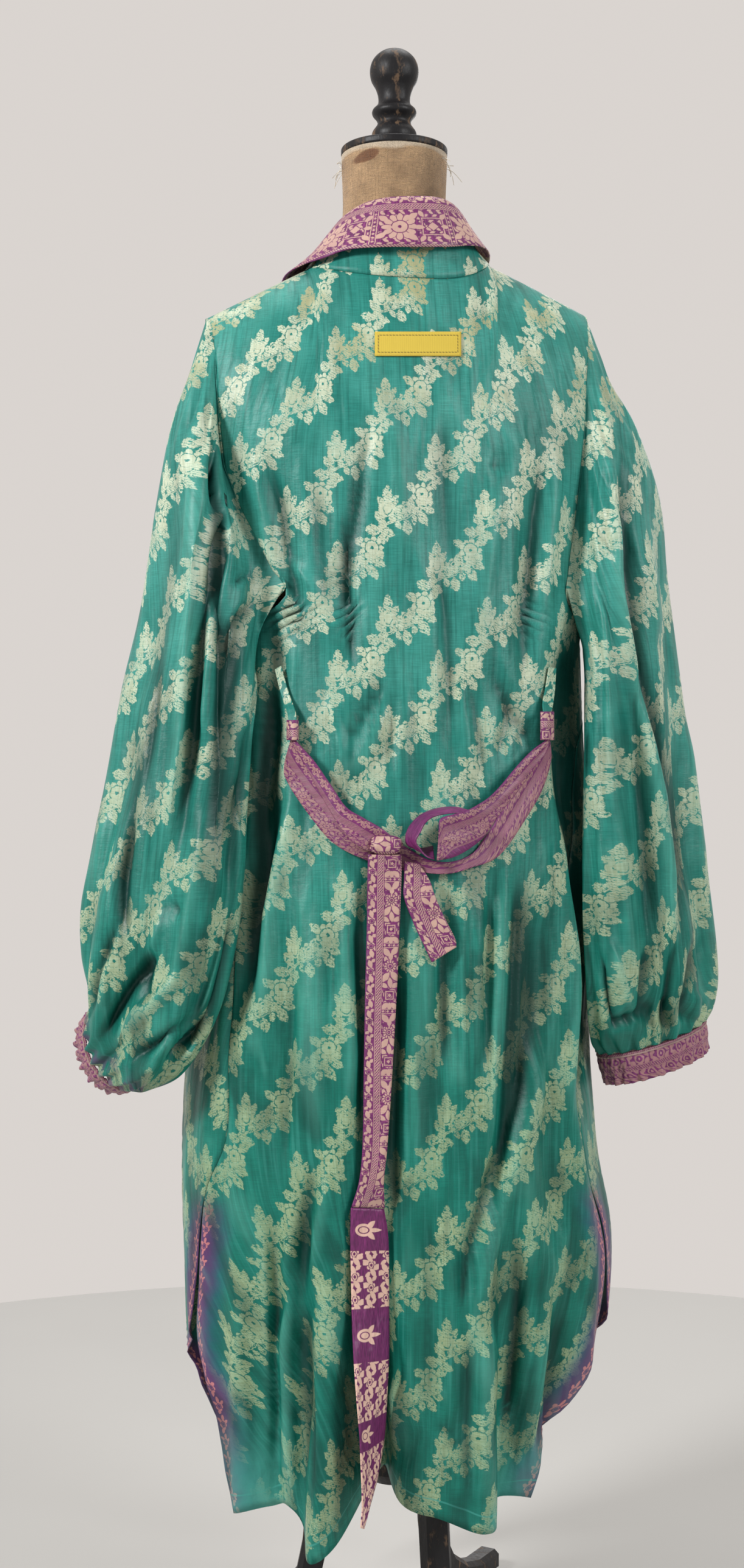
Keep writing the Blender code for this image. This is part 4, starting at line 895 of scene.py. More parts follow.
# Lights: name, place, power and size, then the height that they are aimed at.
STUDIO_LIGHTS = (
    ("key", (-3.0, -1.5, 2.6), 116.0, 0.8),
    ("fill", (2.3, -2.4, 2.3), 62.0, 1.4),
    ("low", (-0.7, -3.0, 0.6), 5.0, 1.4),
    ("top", (0.2, 0.4, 3.2), 18.0, 1.4),
    ("rear", (1.2, 2.8, 2.0), 22.0, 1.8),
)
LAMP_AIM = 0.95
FLOOR_RADIUS = 1.6
FLOOR_DROP = 0.0005
FLOOR_ROUND = 96
FLOOR_COLOUR = (0.52, 0.51, 0.49, 1)
# The camera's sensor, in mm.
SENSOR = 36
# The room's light from behind the camera and from beyond the robe, and over how much of the
# way round they blend.
ROOM_BLEND = 0.35
ROOM_DIM = (0.27, 0.265, 0.26, 1)
ROOM_PALE = (0.70, 0.66, 0.63, 1)


def along(table, at):
    """The table's other columns at these values of its first, on a smooth curve through them."""
    rows = np.array(table, float)
    x, y = rows[:, 0], rows[:, 1:]
    at = np.asarray(at, float)
    slope = np.gradient(y, x, axis=0)
    k = np.clip(np.searchsorted(x, at) - 1, 0, len(x) - 2)
    step = (x[k + 1] - x[k])[..., None]
    s = np.clip((at - x[k]) / step[..., 0], 0, 1)[..., None]
    near = (1 + 2 * s) * (1 - s) ** 2 * y[k] + s * (1 - s) ** 2 * step * slope[k]
    return near + s * s * (3 - 2 * s) * y[k + 1] + s * s * (s - 1) * step * slope[k + 1]


def smooth(share):
    share = np.clip(share, 0, 1)
    return share * share * (3 - 2 * share)


def unit(vectors):
    return vectors / np.maximum(np.linalg.norm(vectors, axis=-1, keepdims=True), 1e-9)


def bell(apart, width):
    """1 in the middle, fading smoothly over this width."""
    return np.exp(-((apart / width) ** 2))


def turned_from(middle, angle):
    """Degrees from middle to angle, the short way round."""
    return (angle - middle + 180) % 360 - 180


def full_turn(count):
    return np.linspace(0, 2 * np.pi, count, endpoint=False)


def zigzag(count):
    """1 and -1 in turn, as a row."""
    return np.where(np.arange(count) % 2, -1, 1)


def joined(grid):
    """A tube's grid with its first column once more at its end."""
    return np.concatenate([grid, grid[:, :1]], 1)


def crest(x):
    """Height of the shoulder line; inside the neck it goes on as a dome."""
    x = np.asarray(x, float)
    side = (x > 0).astype(int)
    at_neck = NECK_HEIGHT + NECK_TILT * np.clip(x / NECK_HALF, -1, 1)
    tip_x, tip = np.abs(np.array(TIP_X))[side], np.array(TIP_HEIGHT)[side]
    down = (np.abs(x) - NECK_HALF) / (tip_x - NECK_HALF)
    slope = at_neck + (tip - at_neck) * np.clip(down, 0, PAST_TIP)
    dome = at_neck + NECK_DOME * (1 - (x / NECK_HALF) ** 2)
    return np.where(np.abs(x) < NECK_HALF, dome, slope)


def folds(angle, z):
    """How far the folds push the cloth out, in metres."""
    total = np.zeros(np.broadcast(angle, z).shape)
    for hem, top, width, height, deep, half in FOLDS:
        up = np.clip((z - HEM_LEVEL) / (height - HEM_LEVEL), 0, 1)
        middle = hem + (top - hem) * up
        risen = smooth(up * FOLD_RISE)
        size = deep * (1 - risen) + half * risen * smooth((1 - up) * FOLD_END)
        total += size * bell(angle - middle, width)
    for middle, width, height, reach, deep in CREASES:
        total += deep * bell(z - height, reach) ** 2 * bell(angle - middle, width)
    return total / 1000


def section(angle, z):
    """Places on the hanging cloth."""
    angle, z = np.broadcast_arrays(np.asarray(angle, float), np.asarray(z, float))
    left, right, back, front = np.moveaxis(along(BODY, z), -1, 0)
    sine, cosine = np.sin(np.radians(angle)), np.cos(np.radians(angle))
    x = np.where(sine < 0, left, right) * np.sign(sine) * np.abs(sine) ** (2 / BOX_POWER)
    y = np.where(cosine > 0, back, front) * np.sign(cosine) * np.abs(cosine) ** (2 / BOX_POWER)
    rise = np.clip((z - SHOULDER_START) / (crest(x) - SHOULDER_START), 0, 1)
    y = -y * (1 - rise**SHOULDER_ROUND) ** (1 / SHOULDER_ROUND)
    grow = 1 + folds(angle, z) / np.maximum(np.hypot(x, y), LEAST_RADIUS)
    return np.stack([x * grow, y * grow, z], -1)


def angle_at(x, z, front=False):
    """The angle at which the cloth is this far to the side, on the back or on the front."""
    left, right, _, _ = np.moveaxis(along(BODY, z), -1, 0)
    share = np.clip(np.abs(x) / np.where(x < 0, left, right), 0, 1)
    angle = np.degrees(np.arcsin(share ** (BOX_POWER / 2))) * np.sign(x)
    return np.where(front, np.where(x < 0, -180, 180) - angle, angle)


def armhole_angles(armhole, front):
    return tuple((z, float(angle_at(-left, z, front)), float(angle_at(right, z, front)))
                 for z, left, right in armhole)


BACK_EDGES = BACK_SIDES + (UNDERARM,) + armhole_angles(BACK_ARMHOLE, False)
FRONT_ARMHOLES = FRONT_UNDERARM + armhole_angles(FRONT_ARMHOLE, True)


def back_edges(z):
    """The back panel's left and right edge, as angles."""
    left, right = np.moveaxis(along(BACK_EDGES, z), -1, 0)
    return left, right


def front_edge(z, side):
    """A front's side edge, as an angle: slit, side seam and armhole."""
    column = 0 if side < 0 else 1
    slit = along(FRONT_SLITS, z)[..., column]
    seam = back_edges(z)[column] + side * SEAM_ANGLE
    armhole = along(FRONT_ARMHOLES, z)[..., column]
    above = z > UNDERARM[0] + LEVEL_MARGIN
    return np.where(z < SLIT_TOP - LEVEL_MARGIN, slit, np.where(above, armhole, seam))


def to_robe(side, up, behind):
    """From sideways, height and distance behind the axis, as seen, to x, y and z."""
    side, up, behind = np.broadcast_arrays(side, up, behind)
    turn, away = np.cos(VIEW_TURN), np.sin(VIEW_TURN)
    return np.stack([side * turn - behind * away, side * away + behind * turn, up], -1)


def from_view(points):
    """Sideways and behind the axis, as seen, and height."""
    x, y, z = np.moveaxis(points, -1, 0)
    turn, away = np.cos(VIEW_TURN), np.sin(VIEW_TURN)
    return x * turn + y * away, -x * away + y * turn, z


def seen(column, row, behind):
    """The place that shows at this column and row, this far behind the axis."""
    reach = (VIEW_DISTANCE + np.asarray(behind, float)) / VIEW_FOCAL
    side = (np.asarray(column, float) - VIEW_MIDDLE[0]) * reach - VIEW_SIDE_STEP
    up = VIEW_HEIGHT + (VIEW_MIDDLE[1] - np.asarray(row, float)) * reach
    return to_robe(side, up, behind)


def cloth_behind(side, z):
    """How far behind the axis the near side of the body is, at this side step and height."""
    angles = np.linspace(*SEEN_ANGLES, SEEN_STEPS)
    across, behind, _ = from_view(section(angles[None, :], np.ravel(z)[:, None]))
    across = np.maximum.accumulate(across, axis=1)
    found = [np.interp(one, rising, back) for one, rising, back in
             zip(np.ravel(side), across, behind)]
    return np.reshape(found, np.shape(side))


def lay(column, row, lift):
    """The place that shows at this column and row, lying this far in front of the body."""
    behind = np.full(np.shape(column), SEEN_BEHIND)
    for _ in range(SEEN_ROUNDS):
        reach = (VIEW_DISTANCE + behind) / VIEW_FOCAL
        side = (column - VIEW_MIDDLE[0]) * reach - VIEW_SIDE_STEP
        behind = cloth_behind(side, VIEW_HEIGHT + (VIEW_MIDDLE[1] - row) * reach)
    return seen(column, row, behind - lift)


def top_height(x, neckline):
    """Height of a panel's top edge: the shoulder line, or the neck seam between the shoulders."""
    line = crest(x)
    if not neckline:
        return line
    rise = crest(np.sign(x) * NECK_HALF) - NECK_BACK_HEIGHT
    inside = NECK_BACK_HEIGHT + rise * np.abs(x / NECK_HALF) ** 3
    return np.where(np.abs(x) < NECK_HALF, np.minimum(inside, line), line)


def panel(edge_angles, hem_height, across, neckline, finer_by):
    """A grid of places from the shoulder line to the hem.

    edge_angles gives the first and the last edge's angle at a height, hem_height the hem's
    height at an angle. All panels have the same rows at the underarm and at the slit's top.
    """
    counts = [count * finer_by for count in PANEL_STEPS]
    share = np.linspace(0, 1, (across - 1) * finer_by + 1)[None, :]
    rounding = np.linspace(0, 1, counts[0] + 1)[:, None]
    z = np.linspace(PANEL_TOP, HEM_LEVEL, sum(counts) + 1)[:, None] + 0 * share
    for _ in range(PANEL_ROUNDS):
        first, last = edge_angles(z)
        angle = first + (last - first) * share
        x = section(angle, z)[0, :, 0]
        line = crest(x) - SHOULDER_START
        rise = np.clip((top_height(x, neckline) - SHOULDER_START) / line, 0, 1)
        turn = np.arccos(rise) + (np.pi / 2 - np.arccos(rise)) * rounding
        blocks = [SHOULDER_START + np.cos(turn) * line]
        levels = (SHOULDER_START, UNDERARM[0], SLIT_TOP, hem_height(angle[-1]))
        for steps, high, low in zip(counts[1:], levels, levels[1:]):
            down = np.linspace(0, 1, steps + 1)[1:, None]
            blocks.append(high + (low - high) * down + 0 * share)
        z = np.concatenate(blocks)
    return section(angle, z)


def back_grid(finer_by=1):
    def hem(angle):
        return along(BACK_HEM, angle)[..., 0]

    grid = panel(back_edges, hem, BACK_ACROSS, True, finer_by)
    grid[0, :, 1] -= SEAM_GAP
    return grid


def front_grid(side, finer_by=1):
    """The front at -X for side -1, or at +X for 1, from its side edge to its front edge."""

    def edges(z):
        first = front_edge(z, side)
        last = angle_at(side * along(FRONT_EDGE, z)[..., 0], z, True)
        return first, last

    def hem(angle):
        return np.full(np.shape(angle), FRONT_HEM)

    grid = panel(edges, hem, FRONT_ACROSS, False, finer_by)
    grid[0, :, 1] += SEAM_GAP
    return grid


def armhole_ring(side):
    """Places round the armhole, two for each step of the panels' edges.

    They go from the shoulder tip down the back to the underarm, and up the front. The other
    results are the way past the panels' edge and the way off the body at each place.
    """
    rows = PANEL_STEPS[0] + PANEL_STEPS[1]
    edge = 0 if side < 0 else -1
    loop = np.concatenate([BACK[: rows + 1, edge], FRONTS[side][1:rows, 0][::-1]])
    loop[rows] = (BACK[rows, edge] + FRONTS[side][rows, 0]) / 2
    between = (loop + np.roll(loop, -1, axis=0)) / 2
    loop = np.stack([loop, between], 1).reshape(-1, 3)
    step = unit(np.roll(loop, -1, axis=0) - np.roll(loop, 1, axis=0))
    core = loop * np.array([ARMHOLE_CORE[0], 0.0, 1.0])
    core[:, 2] = np.minimum(core[:, 2], ARMHOLE_CORE[1])
    off = unit(loop - core)
    return loop, unit(np.cross(step, off)) * -side, off


def clear_of_body(points, gap):
    """The same places, moved out where they would be inside the body or nearer than gap."""
    x, y, z = np.moveaxis(points, -1, 0)
    left, right, back, front = np.moveaxis(along(BODY, z), -1, 0)
    across = np.abs(x) / np.where(x < 0, left, right)
    deep = np.abs(y) / np.where(y < 0, back, front)
    size = (across**BOX_POWER + deep**BOX_POWER) ** (1 / BOX_POWER)
    turn = np.degrees(np.arctan2(across ** (BOX_POWER / 2), deep ** (BOX_POWER / 2)))
    angle = np.where(y < 0, turn, 180 - turn) * np.sign(x)
    radius = np.hypot(x, y)
    need = 1 + (folds(angle, z) + gap) * size / np.maximum(radius, LEAST_RADIUS)
    grow = np.maximum(1, need / np.maximum(size, LEAST_SIZE))
    grow = 1 + (grow - 1) * smooth((SHOULDER_START - z) / SLEEVE_CLEAR_FADE)
    return np.stack([x * grow, y * grow, z], -1)


def sleeve_rings(table, side):
    """A sleeve's rings from the armhole to the cuff, with its gathers and long folds."""
    rows = np.array(table)
    start, past, off = armhole_ring(side)
    count = len(start)
    turn = full_turn(count)
    outer = seen(rows[:, 0], rows[:, 1], rows[:, 4])
    inner = seen(rows[:, 2], rows[:, 3], rows[:, 5])
    near = to_robe(rows[:, 6], rows[:, 7], rows[:, 8])
    middle, half = (outer + inner) / 2, (outer - inner) / 2
    rings = (
        middle[:, None]
        + half[:, None] * np.cos(turn)[None, :, None]
        + near[:, None] * np.sin(turn)[None, :, None]
    )
    away = unit(rings - middle[:, None])
    share = np.linspace(0, 1, len(rows))[:, None]
    degrees = np.degrees(turn)[None, :]
    push = np.zeros((len(rows), count))
    for angle, width, deep, first, last in SLEEVE_FOLDS:
        there = smooth((share - first) * FOLD_FADE) * smooth((last - share) * FOLD_FADE)
        push += deep * there * bell(turned_from(angle, degrees), width)
    near_end = bell(share, GATHER_FADE[0]) + bell(1 - share, GATHER_FADE[1])
    push += SLEEVE_GATHER * zigzag(count) * near_end
    rings = clear_of_body(rings + away * push[..., None], SLEEVE_CLEAR)
    toward = unit(rings[0] - start)
    ahead = (toward * past).sum(-1, keepdims=True)
    toward = unit(toward + np.maximum(SLEEVE_AHEAD - ahead, 0) * past)
    start += toward * SLEEVE_START + off * SLEEVE_TURN * np.clip(-ahead, 0, 1)
    second = clear_of_body(start + (rings[0] - start) * SLEEVE_SECOND, SLEEVE_CLEAR)
    return np.concatenate([start[None], second[None], rings])


def cuff_walls(ring):
    """A smocked band that goes on from the sleeve's last ring, with a ruffled free edge."""
    middle = ring.mean(0)
    ahead = unit(np.cross(ring[0] - middle, ring[len(ring) // 4] - middle))
    if ahead[2] > 0:
        ahead = -ahead
    flat = ring - ((ring - middle) @ ahead)[:, None] * ahead
    away = unit(flat - middle)
    ruffle = CUFF_RUFFLE * zigzag(len(ring))[:, None]
    return np.array([flat + ahead * (CUFF_START + CUFF_HEIGHT * share) + away * (grow + ruffle * wave)
                     for share, grow, wave in CUFF_RINGS])


def back_surface(x, drop):
    """A place of the back panel this far below the shoulder line."""
    z = crest(x) - drop
    return section(angle_at(x, z), z)


def neck_stations():
    """Round the back of the neck from left to right: the fold, the seam and a place below it."""
    right = np.array(COLLAR_BACK)[:, :4]
    left = right[1:][::-1] * np.array([-1, 1, 1, -1])
    rows = np.concatenate([left, right])
    fold, x = rows[:, :3], rows[:, 3]
    fold[:, 2] += NECK_TILT * np.clip(fold[:, 0] / NECK_HALF, -1, 1)
    z = top_height(x, True)
    sewn = section(angle_at(x, z), z)
    middle, shoulder = COLLAR_DROP
    drop = middle + (shoulder - middle) * np.abs(x) / NECK_HALF
    below = back_surface(x * COLLAR_SPREAD, drop)
    return fold, sewn, below


def walk(line, reach):
    """The place this far along a line of places."""
    steps = np.linalg.norm(np.diff(line, axis=0), axis=1)
    gone = np.concatenate([[0], np.cumsum(steps)])
    ahead = unit(line[0] - line[1])
    past = max(-reach, 0.0)
    reach = max(reach, 0.0)
    return np.array([np.interp(reach, gone, line[:, k]) for k in range(3)]) + ahead * past


def collar_grid():
    """One band from the left front's hem round the neck to the right front's hem.

    It is folded over the edge of the cloth that it is sewn to.
    """
    lines = list(FRONTS[-1][::-1, ::-1][:, :BAND_POINTS])
    lines += [np.stack(place) for place in zip(*neck_stations())]
    lines += list(FRONTS[1][:, ::-1][:, :BAND_POINTS])
    rows = np.array(COLLAR_BACK)
    folded = np.concatenate([rows[:0:-1, 4], rows[:, 5]])
    shares = smooth(np.arange(1, len(FRONTS[1]) + 1) / COLLAR_GROWS)
    right = folded[-1] + (BAND_WIDTH - folded[-1]) * shares
    left = folded[0] + (BAND_WIDTH - folded[0]) * shares
    width = np.concatenate([left[::-1], folded, right])
    from_middle = np.abs(np.arange(len(lines)) - (len(lines) - 1) / 2)
    lean = smooth((from_middle - COLLAR_LEAN[0]) / COLLAR_LEAN[1])
    stand = COLLAR_STAND_OFF + (BAND_SPACE - COLLAR_STAND_OFF) * lean
    edge = np.array([line[0] for line in lines])
    ahead = unit(np.gradient(edge, axis=0))
    grid = []
    for line, step, wide, off in zip(lines, ahead, width, stand):
        places = ((BAND_INNER, -1), (BAND_TURN, -1), (-BAND_FOLD, 0), (BAND_TURN, 1),
                  (wide / 2, 1), (wide, 1))
        row = []
        for reach, way in places:
            near = walk(line, max(reach, 0.0) - BAND_TURN)
            far = walk(line, max(reach, 0.0) + BAND_TURN)
            out = unit(np.cross(far - near, step))
            space = BAND_SPACE + (off - BAND_SPACE) * max(reach, 0.0) / wide * (way > 0)
            row.append(walk(line, reach) + out * space * way)
        grid.append(row)
    return np.array(grid)


def neck_band_grid():
    """The neck band, from below the collar's fold to the neck seam."""
    fold, sewn, _ = neck_stations()
    shares = np.linspace(NECK_BAND_START, 1, NECK_BAND_ROWS)
    grid = np.stack([fold + (sewn - fold) * s for s in shares])
    grid[-1] += unit(fold - sewn) * CLOTH
    return grid


def finer(grid, rows_by, columns_by, closed=False):
    """The same surface with this many times more rows and columns."""
    rows, columns = grid.shape[:2]
    table = np.column_stack([np.arange(rows), grid.reshape(rows, -1)])
    at = np.linspace(0, rows - 1, (rows - 1) * rows_by + 1)
    grid = along(table, at).reshape(len(at), columns, 3)
    if closed:
        grid = np.concatenate([grid[:, -TUBE_LAP:], grid, grid[:, :TUBE_LAP]], 1)
    turned_grid = np.swapaxes(grid, 0, 1)
    count = len(turned_grid)
    table = np.column_stack([np.arange(count), turned_grid.reshape(count, -1)])
    if closed:
        at = TUBE_LAP + np.arange(columns * columns_by) / columns_by
    else:
        at = np.linspace(0, columns - 1, (columns - 1) * columns_by + 1)
    return np.swapaxes(along(table, at).reshape(len(at), grid.shape[0], 3), 0, 1)


def run(grid, axis, closed=False):
    """Running length in mm down the rows (axis 0) or across them (axis 1)."""
    if closed:
        grid = joined(grid)
    steps = np.linalg.norm(np.diff(grid, axis=axis), axis=-1) * 1000
    first = np.zeros_like(np.take(steps, [0], axis))
    return np.cumsum(np.concatenate([first, steps], axis), axis)


def looked_at(points):
    """Column and row at which places are seen."""
    side, behind, z = from_view(points)
    scale = VIEW_FOCAL / (VIEW_DISTANCE + behind)
    return VIEW_MIDDLE[0] + (side + VIEW_SIDE_STEP) * scale, VIEW_MIDDLE[1] - (z - VIEW_HEIGHT) * scale


def facing(off):
    """1 where the cloth faces the place that it is seen from, and 0 on its hidden sides."""
    ahead = np.array([-np.sin(VIEW_TURN), np.cos(VIEW_TURN), 0])
    return smooth(-(off @ ahead) * FACING_STEEP)


def pushes(grid, off, table, hidden):
    """How far out the creases push the cloth: those that are seen, and those of hidden sides."""
    near = facing(off)
    return crease(*looked_at(grid), table) * near + hidden * (1 - near)


def outward(grid, centre, closed=False):
    """Unit directions off the cloth, away from the centre."""
    padded = np.concatenate([grid[:, -1:], grid, grid[:, :1]], 1) if closed else grid
    across = np.gradient(padded, axis=1)
    down = np.gradient(padded, axis=0)
    off = unit(np.cross(across, down))
    if closed:
        off = off[:, 1:-1]
    return off * np.sign((off * (grid - centre)).sum(-1, keepdims=True))


def crease(columns, rows, table):
    """How far the creases of a table push seen places out, in mm."""
    total = np.zeros(columns.shape)
    for deep, wide, lean, line in table:
        points = np.array(line, float)
        lengths = np.linalg.norm(np.diff(points, axis=0), axis=1)
        best = np.full(columns.shape, np.inf)
        signed, place = np.zeros(columns.shape), np.zeros(columns.shape)
        gone = 0.0
        for start, end, length in zip(points, points[1:], lengths):
            step = (end - start) / length
            x, y = columns - start[0], rows - start[1]
            reach = np.clip(x * step[0] + y * step[1], 0, length)
            apart_x, apart_y = x - reach * step[0], y - reach * step[1]
            apart = np.hypot(apart_x, apart_y)
            nearer = apart < best
            way = np.sign(apart_x * step[1] - apart_y * step[0])
            best = np.where(nearer, apart, best)
            signed = np.where(nearer, apart * way, signed)
            place = np.where(nearer, gone + reach, place)
            gone += length
        end = CREASE_END * gone
        fade = smooth(place / end) * smooth((gone - place) / end)
        if lean:
            step = lean * wide * RIDGE_STEP
            total += deep * fade * (bell(signed + step, wide) - bell(signed - step, wide))
        else:
            total += deep * fade * bell(best, wide)
    return total


def mesh_of(name, places, faces):
    """A mesh of places that are counted from the form's axis."""
    mesh = bpy.data.meshes.new(name)
    moved = np.reshape(places, (-1, 3)) - np.array([*WHOLE_MIDDLE, 0.0])
    mesh.from_pydata(moved.tolist(), [], faces)
    return mesh


def grid_index(grid, closed):
    """The number of each place of a grid."""
    rows, columns = grid.shape[:2]
    index = np.arange(rows * columns).reshape(rows, columns)
    return joined(index) if closed else index


def corners(table):
    """What a table says at the four corners of each quad."""
    return np.stack([table[:-1, :-1], table[1:, :-1], table[1:, 1:], table[:-1, 1:]], 2)


def make(name, grid, coat, nodes, cloth=None, border=None, thick=THIN, closed=False, fold=None):
    """A thin closed shell round a grid of places, with its pattern's coordinates in mm."""
    index = grid_index(grid, closed)
    mesh = mesh_of(name, grid, corners(index).reshape(-1, 4).tolist())
    # The fold layer carries each place's crease push in mm, from which the green silk paints shade in
    # troughs and highlights on ridges.
    if fold is not None:
        fold = joined(fold) if closed else fold
        fold = np.stack([fold, fold], -1)
    for label, flat in (("cloth", cloth), ("border", border), ("fold", fold)):
        if flat is not None:
            layer = mesh.uv_layers.new(name=label)
            layer.data.foreach_set("uv", corners(flat).reshape(-1))
    made = finish_mesh(name, mesh, coat, nodes)
    shell = made.modifiers.new("thickness", "SOLIDIFY")
    shell.thickness = thick
    shell.offset = 0.0
    return made


def new_object(name, data):
    """A new object in the scene."""
    made = bpy.data.objects.new(name, data)
    bpy.context.scene.collection.objects.link(made)
    return made


def finish_mesh(name, mesh, coat, nodes):
    """The piece of a mesh, which rides on the root body and may stand for CAD nodes."""
    mesh.materials.append(coat)
    mesh.polygons.foreach_set("use_smooth", np.ones(len(mesh.polygons), bool))
    mesh.update()
    made = new_object(name, mesh)
    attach(made, "root")
    if nodes:
        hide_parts(*nodes)
    return made


def loft(name, rings, coat, nodes):
    """A smooth closed solid through rings of places."""
    rings = np.asarray(rings, float)
    index = grid_index(rings, True)
    faces = corners(index).reshape(-1, 4).tolist()
    faces += [index[0, :-1].tolist(), index[-1, :-1][::-1].tolist()]
    mesh = mesh_of(name, rings, faces)
    shape = bmesh.new()
    shape.from_mesh(mesh)
    bmesh.ops.recalc_face_normals(shape, faces=shape.faces)
    shape.to_mesh(mesh)
    shape.free()
    return finish_mesh(name, mesh, coat, nodes)


def flat_size(grid, closed=False):
    """Width, length and area of the cut piece, in metres."""
    wide, long = run(grid, 1, closed)[:, -1].max(), run(grid, 0)[-1].max()
    whole = joined(grid) if closed else grid
    one = np.cross(whole[1:, 1:] - whole[:-1, :-1], whole[1:, :-1] - whole[:-1, 1:])
    area = np.linalg.norm(one, axis=-1).sum() / 2
    return (float(wide) / 1000, float(long) / 1000), float(area)


def declare(grid, closed=False):
    """Works out the cut of a piece of cloth: its width, length and area, which are not used."""
    (wide, long), area = flat_size(grid, closed)


class Value:
    """A number in a material, with arithmetic that makes its Math nodes."""

    def __init__(self, socket):
        self.socket = socket

    def __add__(self, other):
        return math("ADD", self, other)

    def __sub__(self, other):
        return math("SUBTRACT", self, other)

    def __rsub__(self, other):
        return math("SUBTRACT", other, self)

    def __mul__(self, other):
        return math("MULTIPLY", self, other)

    def __abs__(self):
        return math("ABSOLUTE", self)


def feed(socket, given):
    if isinstance(given, Value):
        LOOK[-1].links.new(given.socket, socket)
    elif given is not None:
        socket.default_value = given


def add_node(kind, **settings):
    made = LOOK[-1].nodes.new(kind)
    for name, setting in settings.items():
        setattr(made, name, setting)
    return made


def math(kind, *inputs):
    made = add_node("ShaderNodeMath", operation=kind)
    for socket, given in zip(made.inputs, inputs):
        feed(socket, given)
    return Value(made.outputs[0])


def largest(*values):
    best = values[0]
    for value in values[1:]:
        best = math("MAXIMUM", best, value)
    return best


def least(*values):
    best = values[0]
    for value in values[1:]:
        best = math("MINIMUM", best, value)
    return best


def soft(value, low, high, bottom=0.0, top=1.0):
    """Goes smoothly from bottom to top while the value goes from low to high."""
    made = add_node("ShaderNodeMapRange", interpolation_type="SMOOTHSTEP")
    for socket, given in zip(made.inputs, (value, low, high, bottom, top)):
        feed(socket, given)
    return Value(made.outputs[0])


def tone(value, first, last, strength, part=None):
    """Goes from 0 at first to this strength at last, and less where part is below 1."""
    share = soft(value, first, last)
    if part is not None:
        share = share * part
    return share * strength


def mix(share, first, second):
    made = add_node("ShaderNodeMix", data_type="RGBA")
    for number, given in ((0, share), (6, first), (7, second)):
        feed(made.inputs[number], given)
    return Value(made.outputs[2])


def spot_at(x, y):
    made = add_node("ShaderNodeCombineXYZ")
    feed(made.inputs[0], x)
    feed(made.inputs[1], y)
    return Value(made.outputs[0])


def split(vector):
    made = add_node("ShaderNodeSeparateXYZ")
    feed(made.inputs[0], vector)
    return [Value(made.outputs[k]) for k in range(3)]


def coordinates(label):
    """Two coordinates of a piece of cloth, in mm."""
    made = add_node("ShaderNodeUVMap", uv_map=label)
    return split(Value(made.outputs[0]))[:2]


def noise(vector, scale, detail=2.0, rough=0.5, distortion=0.0):
    made = add_node("ShaderNodeTexNoise")
    feed(made.inputs["Vector"], vector)
    for name, given in (("Scale", scale), ("Detail", detail), ("Roughness", rough),
                        ("Distortion", distortion)):
        feed(made.inputs[name], given)
    return Value(made.outputs[0])


def noise_colour(vector, scale, detail, rough):
    """Three noises at once, as a vector."""
    return Value(noise(vector, scale, detail, rough).socket.node.outputs[1])


def stretched(vector, scale):
    made = add_node("ShaderNodeMapping")
    feed(made.inputs[0], vector)
    made.inputs["Scale"].default_value = scale
    return Value(made.outputs[0])


def grain(vector, across, down, detail=2.0, rough=0.5, distortion=0.0):
    """Noise that is this fine across the cloth and down it."""
    return noise(stretched(vector, (across, down, 1)), 1.0, detail, rough, distortion)


def shaken(value, rough, reach):
    """Moved either way by a noise, half as far as reach at most."""
    return value + rough * reach - reach / 2


def wrapped(value, period):
    """The value from the middle of its period."""
    return math("WRAP", value, period / 2, -period / 2)


def put(point, x, y, turn, long, wide):
    """A place in the axes of a motif that lies at x, y, turned by degrees."""
    made = add_node("ShaderNodeMapping", vector_type="TEXTURE")
    feed(made.inputs[0], point)
    made.inputs["Location"].default_value = (x, y, 0)
    made.inputs["Rotation"].default_value = (0, 0, np.radians(turn))
    made.inputs["Scale"].default_value = (long, wide, 1)
    return Value(made.outputs[0])


def leaf(point, x, y, turn, long, wide):
    """How far inside a pointed leaf a place is."""
    across = split(put(point, x, y, turn, long, wide))
    return (1.0 - across[0] * across[0] - abs(across[1])) * (wide * LEAF_STEEP)


def spray(point, rows, best=None):
    """Leaves joined one by one, which keeps few values waiting in the shader."""
    for row in rows:
        inside = leaf(point, *row)
        best = inside if best is None else largest(best, inside)
    return best


def dot(vector, other):
    made = add_node("ShaderNodeVectorMath", operation="DOT_PRODUCT")
    feed(made.inputs[0], vector)
    feed(made.inputs[1], other)
    return Value(made.outputs["Value"])


def oval(point, x, y, turn, long, wide):
    inside = put(point, x, y, turn, long, wide)
    return (1.0 - dot(inside, inside)) * (min(long, wide) / 2)


def around(x, y):
    """Distance and angle from the middle."""
    return math("SQRT", x * x + y * y), math("ARCTAN2", y, x)


def rose(x, y, radius, wave, petals, ring):
    """How far inside a flower, with a ring line and lines between its petals."""
    far, turn = around(x, y)
    wavy = abs(math("COSINE", turn * (petals / 2)))
    inside = wavy * wave + radius - far
    gap = largest(wavy * (radius / petals * 2) - PETAL_GAP, (ring - far) * RING_STEEP)
    return least(inside, abs(far - ring) - RING_LINE, gap, far - ROSE_EYE)


def tile(x, y, middle, size):
    """Places in the tile of a half-drop repeat, from the tile's middle."""
    wide, high = size
    row = math("FLOOR", (y - middle[1]) * (1 / high) + 0.5)
    shifted = x - middle[0] - row * (wide / 2)
    return wrapped(shifted, wide), wrapped(y - middle[1], high)


def stripes(value, period):
    """Distance from the nearest of evenly spaced lines."""
    return abs(wrapped(value, period))


